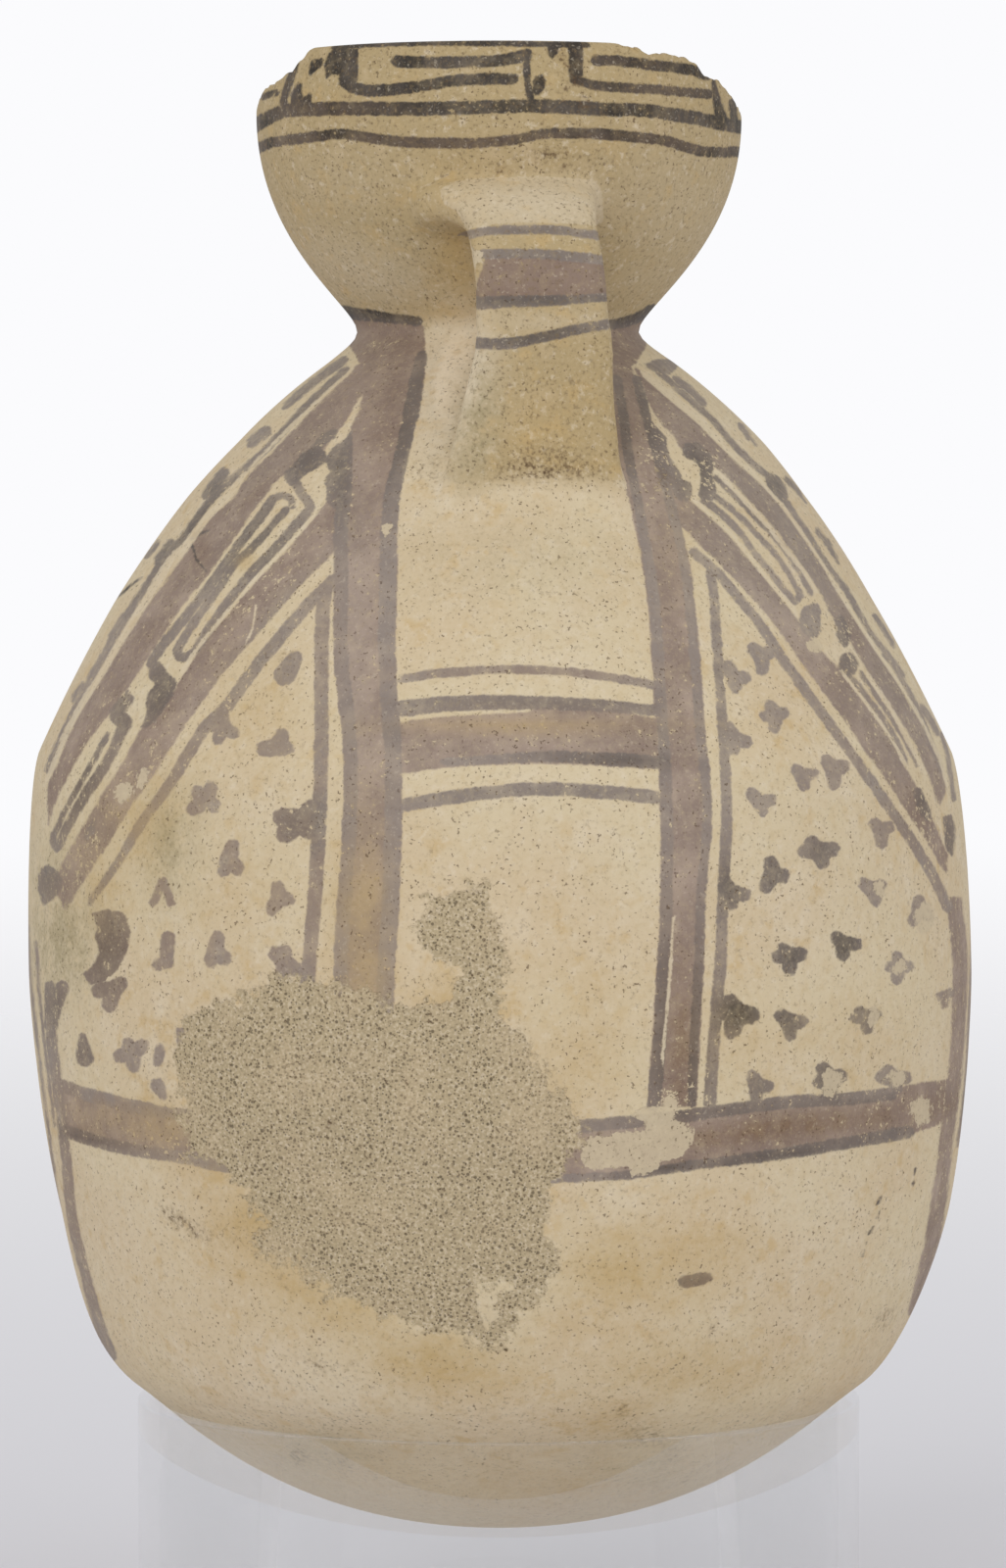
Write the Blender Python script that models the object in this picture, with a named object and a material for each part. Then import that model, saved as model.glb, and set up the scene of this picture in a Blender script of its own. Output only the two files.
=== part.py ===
"""Painted one-handled jar with a round bottom and a broken rim, upright in a clear ring stand.

The frame has +Z up and its origin on the floor, at the centre of the ring stand.
The handle looks along -Y. Jar heights are measured from its lowest point, then lifted into the ring.
"""

import math

import bmesh
import bpy
from mathutils import Vector
from mathutils.geometry import interpolate_bezier

# Ring stand
RING_OUTER_RADIUS = 0.0860
RING_WALL = 0.0050
RING_HEIGHT = 0.0700
RING_EDGE = 0.0006
SEAT_GAP = 0.0003

# Jar outline: each radius, and each height as a rise from the knot below it
HEEL_RADIUS = 0.0870
HEEL_RISE = 0.0350
BELLY_RADIUS = 0.1120
BELLY_RISE = 0.0965
SHOULDER_INSET = 0.0040
SHOULDER_RISE = 0.0530
NECK_RADIUS = 0.0340
NECK_RISE = 0.0990
BOWL_RADIUS = 0.0575
BOWL_RISE = 0.0510
LIP_INTURN = 0.0022
LIP_RISE = 0.0125
LIP_CHAMFER = 0.0010

# Slope of the outline at the heel and the shoulder, in degrees above the horizontal
HEEL_SLOPE = 35.5
SHOULDER_SLOPE = 114.6
LIP_SLOPE = 97.0

# Reach of each curve handle along the outline
BASE_REACH = 0.0520
HEEL_REACH_BELOW = 0.0137
HEEL_REACH_ABOVE = 0.0248
BELLY_REACH_BELOW = 0.0142
BELLY_REACH_ABOVE = 0.0100
SHOULDER_REACH_BELOW = 0.0075
SHOULDER_REACH_ABOVE = 0.0944
NECK_REACH_BELOW = 0.0080
NECK_REACH_ABOVE = 0.0026
BOWL_REACH_BELOW = 0.0309
BOWL_REACH_ABOVE = 0.0030
LIP_REACH = 0.0040

# Walls, and the height over which one thickness turns into the other at the neck
BODY_WALL = 0.0065
BOWL_WALL = 0.0050
WALL_CHANGE_SPAN = 0.0130

# Strap handle, in the upright plane turned from -Y towards +X
HANDLE_TURN = 7.5
HANDLE_WIDTH = 0.0295
HANDLE_THICKNESS = 0.0090
HANDLE_TOP_BELOW_LIP = 0.0370
HANDLE_OUT = 0.0335
HANDLE_BEND_DROP = 0.0170
HANDLE_BEND_REACH = 0.0090
HANDLE_FOOT_BELOW_NECK = 0.0440
HANDLE_FOOT_SINK = 0.0005
HANDLE_FOOT_REACH = 0.0140
HANDLE_TOP_FLARE = 0.0035
HANDLE_TOP_FLARE_SPAN = 0.0180
HANDLE_TOP_SWELL = 0.0025
HANDLE_FOOT_FLARE = 0.0105
HANDLE_FOOT_FLARE_SPAN = 0.0380
HANDLE_ROUNDNESS = 3.0

# Broken rim: turn from -Y towards +X in degrees, and drop below the lip, whole where it is under BREAK_LEAST
BREAK_LINE = (
    (-180, 0.0045),
    (-165, 0.0080),
    (-148, 0.0060),
    (-136, 0.0125),
    (-118, 0.0150),
    (-104, 0.0140),
    (-90, 0.0114),
    (-82, 0.0064),
    (-68, 0.0050),
    (-57, 0.0022),
    (-51, 0.0),
    (33, 0.0),
    (38, 0.0010),
    (46, 0.0),
    (51, 0.0018),
    (58, 0.0045),
    (70, 0.0072),
    (82, 0.0100),
    (96, 0.0122),
    (112, 0.0150),
    (126, 0.0105),
    (141, 0.0070),
    (160, 0.0092),
)
LIP_CLEAR = 0.0010
BREAK_LEAST = 0.00001
BREAK_TOOL_BORE = 0.0170

# Finishes
CLAY_COLOUR = (0.60, 0.50, 0.34)
CLAY_ROUGHNESS = 0.85
ACRYLIC_COLOUR = (0.92, 0.93, 0.92)
ACRYLIC_ROUGHNESS = 0.08
ACRYLIC_ALPHA = 0.3

# Fineness
SHARP_ANGLE = 35.0
SEGMENTS = 48
BREAK_SEGMENTS = 60
OUTLINE_STEPS = (8, 6, 4, 9, 8, 2)
CAVITY_STEPS = (6, 5, 2, 7, 6, 2)
STRAP_STEPS = 16
STRAP_SIDES = 12
CUT_PAST = 0.0200


def clear_objects():
    for item in list(bpy.data.objects):
        bpy.data.objects.remove(item, do_unlink=True)


def material(name, colour, roughness, alpha=1.0):
    made = bpy.data.materials.new(name)
    made.use_nodes = True
    shader = made.node_tree.nodes["Principled BSDF"]
    shader.inputs["Base Color"].default_value = (*colour, 1.0)
    shader.inputs["Roughness"].default_value = roughness
    shader.inputs["Metallic"].default_value = 0.0
    shader.inputs["Alpha"].default_value = alpha
    made.diffuse_color = (*colour, alpha)
    return made


def place(name, mesh_data, surface):
    made = bpy.data.objects.new(name, mesh_data)
    mesh_data.materials.append(surface)
    bpy.context.scene.collection.objects.link(made)
    return made


def hide_as_tool(tool, owner):
    tool.parent = owner
    tool.hide_render = True
    tool.display_type = "WIRE"


def direction(degrees):
    return Vector((math.cos(math.radians(degrees)), math.sin(math.radians(degrees))))


def outline_knots():
    """Knots of the outer outline, from the lowest point up: place, slope, reach before, reach after."""
    heel = HEEL_RISE
    belly = heel + BELLY_RISE
    shoulder = belly + SHOULDER_RISE
    neck = shoulder + NECK_RISE
    bowl = neck + BOWL_RISE
    lip = bowl + LIP_RISE
    shoulder_radius = BELLY_RADIUS - SHOULDER_INSET
    return (
        (Vector((0.0, 0.0)), 0.0, 0.0, BASE_REACH),
        (Vector((HEEL_RADIUS, heel)), HEEL_SLOPE, HEEL_REACH_BELOW, HEEL_REACH_ABOVE),
        (Vector((BELLY_RADIUS, belly)), 90.0, BELLY_REACH_BELOW, BELLY_REACH_ABOVE),
        (Vector((shoulder_radius, shoulder)), SHOULDER_SLOPE, SHOULDER_REACH_BELOW, SHOULDER_REACH_ABOVE),
        (Vector((NECK_RADIUS, neck)), 90.0, NECK_REACH_BELOW, NECK_REACH_ABOVE),
        (Vector((BOWL_RADIUS, bowl)), 90.0, BOWL_REACH_BELOW, BOWL_REACH_ABOVE),
        (Vector((BOWL_RADIUS - LIP_INTURN, lip)), LIP_SLOPE, LIP_REACH, 0.0),
    )


def outline(steps):
    """Points (radius, height) along the outer outline, with so many steps between each two knots."""
    knots = outline_knots()
    points = [knots[0][0]]
    for low, high, count in zip(knots, knots[1:], steps):
        start = low[0] + direction(low[1]) * low[3]
        end = high[0] - direction(high[1]) * high[2]
        points += interpolate_bezier(low[0], start, end, high[0], count + 1)[1:]
    return points


def lip_height():
    return outline_knots()[-1][0].y


def neck_height():
    return outline_knots()[4][0].y


def wall_at(height):
    """Thickness of the wall: the body's below the neck, the bowl's above it."""
    share = (height - neck_height()) / WALL_CHANGE_SPAN + 0.5
    share = min(1.0, max(0.0, share))
    return BODY_WALL + (BOWL_WALL - BODY_WALL) * share


def inner_outline():
    """The hollow's outline, one wall inside the outer one, measured square to it."""
    outer = outline(CAVITY_STEPS)
    points = []
    last = len(outer) - 1
    for n, point in enumerate(outer):
        along = outer[min(n + 1, last)] - outer[max(n - 1, 0)]
        inward = Vector((-along.y, along.x)).normalized()
        moved = point + inward * wall_at(point.y)
        if n == 0:
            moved = Vector((0.0, wall_at(0.0)))
        points.append(Vector((max(moved.x, 0.0), moved.y)))
    return points


def radius_at(height):
    """Radius of the outer outline at a height, on the stretch from the shoulder to the lip."""
    points = outline(OUTLINE_STEPS)
    for low, high in zip(reversed(points[:-1]), reversed(points[1:])):
        if low.y <= height < high.y:
            share = (height - low.y) / (high.y - low.y)
            return low.x + (high.x - low.x) * share
    return points[-1].x


def height_at(radius):
    """Height of the faceted outline below the belly where it reaches a radius, and its slope there."""
    points = outline(OUTLINE_STEPS)
    for low, high in zip(points, points[1:]):
        if low.x <= radius <= high.x:
            slope = (high.y - low.y) / (high.x - low.x)
            return low.y + (radius - low.x) * slope, slope
    return points[0].y, 0.0


def jar_lift():
    """Height of the jar's lowest point over the floor, with its side just clear of the ring's inner edge."""
    bore = RING_OUTER_RADIUS - RING_WALL
    lifts = []
    for radius, top in ((bore, RING_HEIGHT - RING_EDGE), (bore + RING_EDGE, RING_HEIGHT)):
        height, slope = height_at(radius)
        lifts.append(top - height + SEAT_GAP * math.hypot(1.0, slope))
    return max(lifts)


def turned(name, points, segments):
    """A turned solid from (radius, height) points that run from axis to axis or round in a loop."""
    shape = bmesh.new()
    looped = points[0].x > 0.0
    rings = []
    for point in points:
        if point.x == 0.0:
            rings.append([shape.verts.new((0.0, 0.0, point.y))])
            continue
        ring = []
        for n in range(segments):
            angle = math.tau * n / segments
            place_on_ring = (point.x * math.cos(angle), point.x * math.sin(angle), point.y)
            ring.append(shape.verts.new(place_on_ring))
        rings.append(ring)
    pairs = list(zip(rings, rings[1:]))
    if looped:
        pairs.append((rings[-1], rings[0]))
    for low, high in pairs:
        for n in range(segments):
            after = (n + 1) % segments
            corners = (low[n % len(low)], low[after % len(low)], high[after % len(high)], high[n % len(high)])
            unique = list(dict.fromkeys(corners))
            if len(unique) > 2:
                shape.faces.new(unique)
    bmesh.ops.recalc_face_normals(shape, faces=shape.faces)
    data = bpy.data.meshes.new(name)
    shape.to_mesh(data)
    shape.free()
    return data


def jar_body_mesh():
    """The jar's outer form as a solid, before it is hollowed."""
    points = outline(OUTLINE_STEPS)
    lip = points[-1]
    points[-1] = Vector((lip.x, lip.y - LIP_CHAMFER))
    points.append(Vector((lip.x - LIP_CHAMFER, lip.y)))
    points.append(Vector((0.0, lip.y)))
    return turned("jar_body", points, SEGMENTS)


def cavity_mesh():
    """The hollow, carried on past the lip so that it opens the mouth."""
    points = inner_outline()
    mouth = points[-1]
    points[-1] = Vector((mouth.x, lip_height() - LIP_CHAMFER))
    points.append(Vector((mouth.x + LIP_CHAMFER, lip_height())))
    points.append(Vector((mouth.x + LIP_CHAMFER, lip_height() + CUT_PAST)))
    points.append(Vector((0.0, lip_height() + CUT_PAST)))
    return turned("jar_cavity", points, SEGMENTS)


def break_height(turn):
    """Height of the broken edge at a turn in degrees, or a little over the lip where it is whole."""
    line = list(BREAK_LINE) + [(BREAK_LINE[0][0] + 360, BREAK_LINE[0][1])]
    turn = (turn + 180.0) % 360.0 - 180.0
    for (start, drop), (end, next_drop) in zip(line, line[1:]):
        if start <= turn <= end:
            share = (turn - start) / (end - start)
            depth = drop + (next_drop - drop) * share
            if depth > BREAK_LEAST:
                return lip_height() - depth
    return lip_height() + LIP_CLEAR


def break_mesh():
    """A ring over the rim whose underside is the break line."""
    outer = BOWL_RADIUS + CUT_PAST
    inner = BREAK_TOOL_BORE
    top = lip_height() + CUT_PAST
    shape = bmesh.new()
    columns = []
    for n in range(BREAK_SEGMENTS):
        turn = 360.0 * (n + 0.5) / BREAK_SEGMENTS
        low = break_height(turn)
        side = Vector((math.sin(math.radians(turn)), -math.cos(math.radians(turn)), 0.0))
        corners = ((inner, low), (outer, low), (outer, top), (inner, top))
        columns.append([shape.verts.new(side * r + Vector((0.0, 0.0, z))) for r, z in corners])
    for n, column in enumerate(columns):
        after = columns[(n + 1) % BREAK_SEGMENTS]
        for k in range(4):
            shape.faces.new((column[k], column[(k + 1) % 4], after[(k + 1) % 4], after[k]))
    bmesh.ops.recalc_face_normals(shape, faces=shape.faces)
    data = bpy.data.meshes.new("jar_break")
    shape.to_mesh(data)
    shape.free()
    return data


def strap_path():
    """The strap's centre line in its upright plane, from inside the bowl's wall to inside the shoulder's."""
    top_height = lip_height() - HANDLE_TOP_BELOW_LIP
    root = Vector((radius_at(top_height) - BOWL_WALL / 2.0, top_height))
    bend = Vector((NECK_RADIUS + HANDLE_OUT, top_height - HANDLE_BEND_DROP))
    foot_height = neck_height() - HANDLE_FOOT_BELOW_NECK
    foot_side = Vector((radius_at(foot_height), foot_height))
    above_height = foot_height + HANDLE_FOOT_REACH
    above_side = Vector((radius_at(above_height), above_height))
    slope = (above_side - foot_side).normalized()
    inward = Vector((-slope.y, slope.x))
    foot = foot_side + inward * (HANDLE_THICKNESS / 2.0 + HANDLE_FOOT_SINK)
    upper = interpolate_bezier(
        root,
        root + Vector((HANDLE_BEND_REACH, 0.0)),
        bend + Vector((0.0, HANDLE_BEND_REACH)),
        bend,
        STRAP_STEPS // 2 + 1,
    )
    fall = (bend.y - foot.y) / 3.0
    lower = interpolate_bezier(
        bend,
        bend - Vector((0.0, fall)),
        foot + slope * HANDLE_FOOT_REACH,
        foot,
        STRAP_STEPS // 2 + 1,
    )
    return list(upper) + list(lower)[1:]


def strap_mesh():
    """The strap as a swept flat bar with rounded edges that widens and thickens where it meets the jar."""
    path = strap_path()
    last = len(path) - 1
    lengths = [0.0]
    for low, high in zip(path, path[1:]):
        lengths.append(lengths[-1] + (high - low).length)
    turn = math.radians(HANDLE_TURN)
    out = Vector((math.sin(turn), -math.cos(turn), 0.0))
    across = Vector((math.cos(turn), math.sin(turn), 0.0))
    shape = bmesh.new()
    rings = []
    for n, point in enumerate(path):
        top = max(0.0, 1.0 - lengths[n] / HANDLE_TOP_FLARE_SPAN) ** 2
        foot = max(0.0, 1.0 - (lengths[-1] - lengths[n]) / HANDLE_FOOT_FLARE_SPAN) ** 2
        half_width = HANDLE_WIDTH / 2.0 + HANDLE_TOP_FLARE * top + HANDLE_FOOT_FLARE * foot
        half_thick = HANDLE_THICKNESS / 2.0 + HANDLE_TOP_SWELL * top
        along = (path[min(n + 1, last)] - path[max(n - 1, 0)]).normalized()
        normal = out * along.y + Vector((0.0, 0.0, -along.x))
        centre = out * point.x + Vector((0.0, 0.0, point.y))
        ring = []
        for k in range(STRAP_SIDES):
            angle = math.tau * (k + 0.5) / STRAP_SIDES
            wide = math.copysign(abs(math.cos(angle)) ** (2.0 / HANDLE_ROUNDNESS), math.cos(angle))
            thick = math.copysign(abs(math.sin(angle)) ** (2.0 / HANDLE_ROUNDNESS), math.sin(angle))
            ring.append(shape.verts.new(centre + across * wide * half_width + normal * thick * half_thick))
        rings.append(ring)
    for low, high in zip(rings, rings[1:]):
        for k in range(STRAP_SIDES):
            after = (k + 1) % STRAP_SIDES
            shape.faces.new((low[k], low[after], high[after], high[k]))
    shape.faces.new(rings[0])
    shape.faces.new(rings[-1])
    bmesh.ops.recalc_face_normals(shape, faces=shape.faces)
    data = bpy.data.meshes.new("jar_strap")
    shape.to_mesh(data)
    shape.free()
    return data


def shade(item):
    item.data.shade_smooth()
    item.data.set_sharp_from_angle(angle=math.radians(SHARP_ANGLE))


def boolean(owner, name, operation, tool):
    step = owner.modifiers.new(name, "BOOLEAN")
    step.operation = operation
    step.solver = "EXACT"
    step.object = tool
    hide_as_tool(tool, owner)


def make_jar(clay):
    jar = place("jar", jar_body_mesh(), clay)
    jar.location.z = jar_lift()
    boolean(jar, "strap", "UNION", place("jar_strap_tool", strap_mesh(), clay))
    boolean(jar, "hollow", "DIFFERENCE", place("jar_cavity_tool", cavity_mesh(), clay))
    boolean(jar, "break", "DIFFERENCE", place("jar_break_tool", break_mesh(), clay))
    shade(jar)


def make_ring(acrylic):
    outer = RING_OUTER_RADIUS
    bore = outer - RING_WALL
    points = [
        Vector((bore + RING_EDGE, 0.0)),
        Vector((bore, RING_EDGE)),
        Vector((bore, RING_HEIGHT - RING_EDGE)),
        Vector((bore + RING_EDGE, RING_HEIGHT)),
        Vector((outer - RING_EDGE, RING_HEIGHT)),
        Vector((outer, RING_HEIGHT - RING_EDGE)),
        Vector((outer, RING_EDGE)),
        Vector((outer - RING_EDGE, 0.0)),
    ]
    ring = place("ring_stand", turned("ring_stand", points, SEGMENTS), acrylic)
    shade(ring)


def main():
    clear_objects()
    make_jar(material("painted_clay", CLAY_COLOUR, CLAY_ROUGHNESS))
    make_ring(material("clear_acrylic", ACRYLIC_COLOUR, ACRYLIC_ROUGHNESS, ACRYLIC_ALPHA))


main()
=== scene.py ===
import math

import bpy
import numpy as np
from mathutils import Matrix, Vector


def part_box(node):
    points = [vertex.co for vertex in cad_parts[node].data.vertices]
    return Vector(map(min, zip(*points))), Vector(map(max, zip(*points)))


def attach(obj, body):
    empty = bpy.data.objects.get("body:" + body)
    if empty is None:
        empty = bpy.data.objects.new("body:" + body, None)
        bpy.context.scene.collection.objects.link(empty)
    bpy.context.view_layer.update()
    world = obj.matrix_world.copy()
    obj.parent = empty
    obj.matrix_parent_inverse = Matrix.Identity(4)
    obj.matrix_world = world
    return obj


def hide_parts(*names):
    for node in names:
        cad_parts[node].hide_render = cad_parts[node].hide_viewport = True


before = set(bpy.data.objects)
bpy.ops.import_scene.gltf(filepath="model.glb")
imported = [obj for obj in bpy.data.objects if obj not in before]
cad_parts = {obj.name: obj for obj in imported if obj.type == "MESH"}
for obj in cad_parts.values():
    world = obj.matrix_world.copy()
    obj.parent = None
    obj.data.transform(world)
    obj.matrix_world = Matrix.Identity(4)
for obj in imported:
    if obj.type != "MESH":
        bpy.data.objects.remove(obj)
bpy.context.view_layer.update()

bl_info = {
    "name": "Painted jar in a ring stand",
    "version": (1, 0, 0),
    "blender": (4, 5, 0),
    "location": "3D View > Sidebar > Painted jar",
    "description": "Makes the finish of a painted one-handled jar, its clear ring stand and a plain studio",
    "category": "Object",
}

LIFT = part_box("jar")[0][2]
RING_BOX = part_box("ring_stand")

# Jar outline in metres above the lowest point, within a millimetre or so of the solid's
HEEL = (0.0870, 0.0350)
BELLY = (0.1120, 0.1315)
SHOULDER = (0.1080, 0.1845)
NECK = (0.0335, 0.2835)
BOWL = (0.0575, 0.3345)
LIP = (0.0553, 0.3481)
HEEL_SLOPE = 35.5
SHOULDER_SLOPE = 114.6
LIP_SLOPE = 97.0
OUTLINE = (
    ((0.0, 0.0), 0.0, 0.0, 0.0520),
    (HEEL, HEEL_SLOPE, 0.0137, 0.0248),
    (BELLY, 90.0, 0.0142, 0.0100),
    (SHOULDER, SHOULDER_SLOPE, 0.0075, 0.0944),
    (NECK, 90.0, 0.0070, 0.0056),
    (BOWL, 90.0, 0.0309, 0.0030),
    (LIP, LIP_SLOPE, 0.0040, 0.0),
)
# Height over which the body's wall thins to the mouth's, centred on the neck
WALL_CHANGE_SPAN = 0.0130
# Steps of each curve of the outline
OUTLINE_STEPS = 240

# Strap handle in the upright plane turned from -Y towards +X
HANDLE_TURN = 7.5
HANDLE_TOP_BELOW_LIP = 0.0370
HANDLE_OUT = 0.0335
HANDLE_BEND_DROP = 0.0170
HANDLE_BEND_REACH = 0.0090
HANDLE_FOOT_BELOW_NECK = 0.0440
HANDLE_FOOT_SINK = 0.0005
HANDLE_FOOT_REACH = 0.0140
HANDLE_TOP_FLARES = (0.0020, 0.0110)
HANDLE_TOP_FLARE_SPAN = 0.0150
HANDLE_TOP_FLARE_FALL = 1.3
HANDLE_TOP_SWELL = 0.0025
HANDLE_TOP_SWELL_SPAN = 0.0180
HANDLE_FOOT_FLARE = 0.0098
HANDLE_FOOT_FLARE_SPAN = 0.0600
HANDLE_SIDEWAYS = (
    (0.0, -0.0008), (0.19, -0.0006), (0.34, 0.0009), (0.46, 0.0014), (0.56, 0.0003), (0.66, -0.0005),
    (0.78, -0.0012), (0.92, -0.0008), (1.0, -0.0006),
)
HANDLE_ROUNDNESS = 3.0
STRAP_DEPTH_IN_WALL = 0.0030
HANDLE_TOP_SINK = 0.0004

# Broken rim: turn from -Y towards +X in degrees, and drop below the whole lip
BREAK_LINE = (
    (-180, 0.0060), (-165, 0.0095), (-148, 0.0075), (-136, 0.0140), (-118, 0.0165), (-104, 0.0155),
    (-90, 0.0124), (-77, 0.0081), (-69, 0.0071), (-62, 0.0058), (-58, 0.0047), (-55, 0.0026), (-51, 0.0),
    (29, 0.0), (36, 0.0012), (39, 0.0019), (42, 0.0014), (46, 0.0014), (50, 0.0021), (54, 0.0029),
    (57, 0.0046), (59, 0.0062), (62, 0.0064), (66, 0.0069), (71, 0.0090), (78, 0.0114), (87, 0.0127),
    (96, 0.0138), (112, 0.0165), (126, 0.0120), (141, 0.0085), (160, 0.0107), (180, 0.0060),
)
BREAK_ROUGHNESS = 0.0007
BREAK_FADE = 0.0010
# Jags of the break: seed, waves round the rim, share
BREAK_JAGS = ((3, (9, 17, 31), 0.6), (8, (53, 71, 97), 0.5))
# Inner edge of the rim: seed and waves, and its drop as a share of the lip's rounding
INNER_EDGE_WAVES = (12, (23, 41, 67))
INNER_EDGE_DROP = 0.25
# Grain along the broken edge
EDGE_GRAIN_SEED = 20
EDGE_GRAIN_WAVES = (29, 47, 83, 119)
EDGE_GRAIN = 0.7
# Section of the rim: share of the way across the wall, and rise as a share of the lip's rounding
RIM_SECTION = ((0.05, 0.5), (0.16, 0.86), (0.36, 1.0), (0.64, 1.0), (0.84, 0.82), (0.95, 0.45))
# Rise of the broken edge, and how flat it is
BROKEN_RISE = 0.72
BROKEN_FLATNESS = 0.7
# Height below the lip over which the rows follow the break
RIM_ROOM = 0.0260

# Mesh fineness of the jar, in metres along its surface, and its columns
ROW = 0.00175
LOW_ROW = 0.0032
INNER_ROW = 0.0050
INNER_RIM_ROW = 0.0022
# First rows of the hollow with every column, and the height where its closer rows end
INNER_WHOLE_ROWS = 5
INNER_CHANGE = 0.3
FRONT_SPAN = 95.0
FRONT_COLUMNS = 217
BACK_COLUMNS = 126
# Radii below which a low row has only every so many columns
COLUMN_STEPS = ((0.012, 8), (0.035, 4))
LEAST_COLUMN_STEP = 2
INNER_COLUMN_STEP = 4
STRAP_STEPS = 200
STRAP_RINGS = 66
STRAP_SIDES = 60
JAR_SHARP_ANGLE = 58.0

# Soft seam between the strap and the body
SEAM_GAP = 0.00008
SEAM_REACH = 0.08
SEAM_LEAST_WEIGHT = 0.02
SEAM_PULL = 0.6
SEAM_WIDTHS = (0.0042, 0.0017)
SEAM_CHANGE = (0.270, 0.290)
SEAM_ROUNDS = 14

# Camera of the photograph: a picture of 1027 by 1600 pixels
PICTURE = (1027.0, 1600.0)
SENSOR = 36.0
CAMERA_SIDE = 0.00102
CAMERA_DISTANCE = 1.5
CAMERA_ABOVE_JAR_FOOT = 0.23303
CAMERA_PITCH = 2.1737
CAMERA_LENS = 144.92

# How far the body's middle wanders sideways, by height above its lowest point
WANDER = (
    (0.045, 0.0), (0.075, 0.0012), (0.110, 0.0009), (0.150, -0.0001), (0.185, -0.0008), (0.220, -0.0012),
    (0.245, -0.0003), (0.257, 0.0008), (0.276, 0.0009), (0.2835, 0.0), (0.347, 0.0),
)
# Swells of the hand-made wall: seed, waves round it, waves per metre of height
SWELL_WAVES = (5, (1, 2, 3, 5), (22.0, 47.0, 80.0))
SWELL_FADE = 0.020
# Radius within which a swell pushes a point less
LEAST_RADIUS = 0.01
# Pixels over which the wall sinks at the worn place's edge
WORN_EDGE = 6.0

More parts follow.
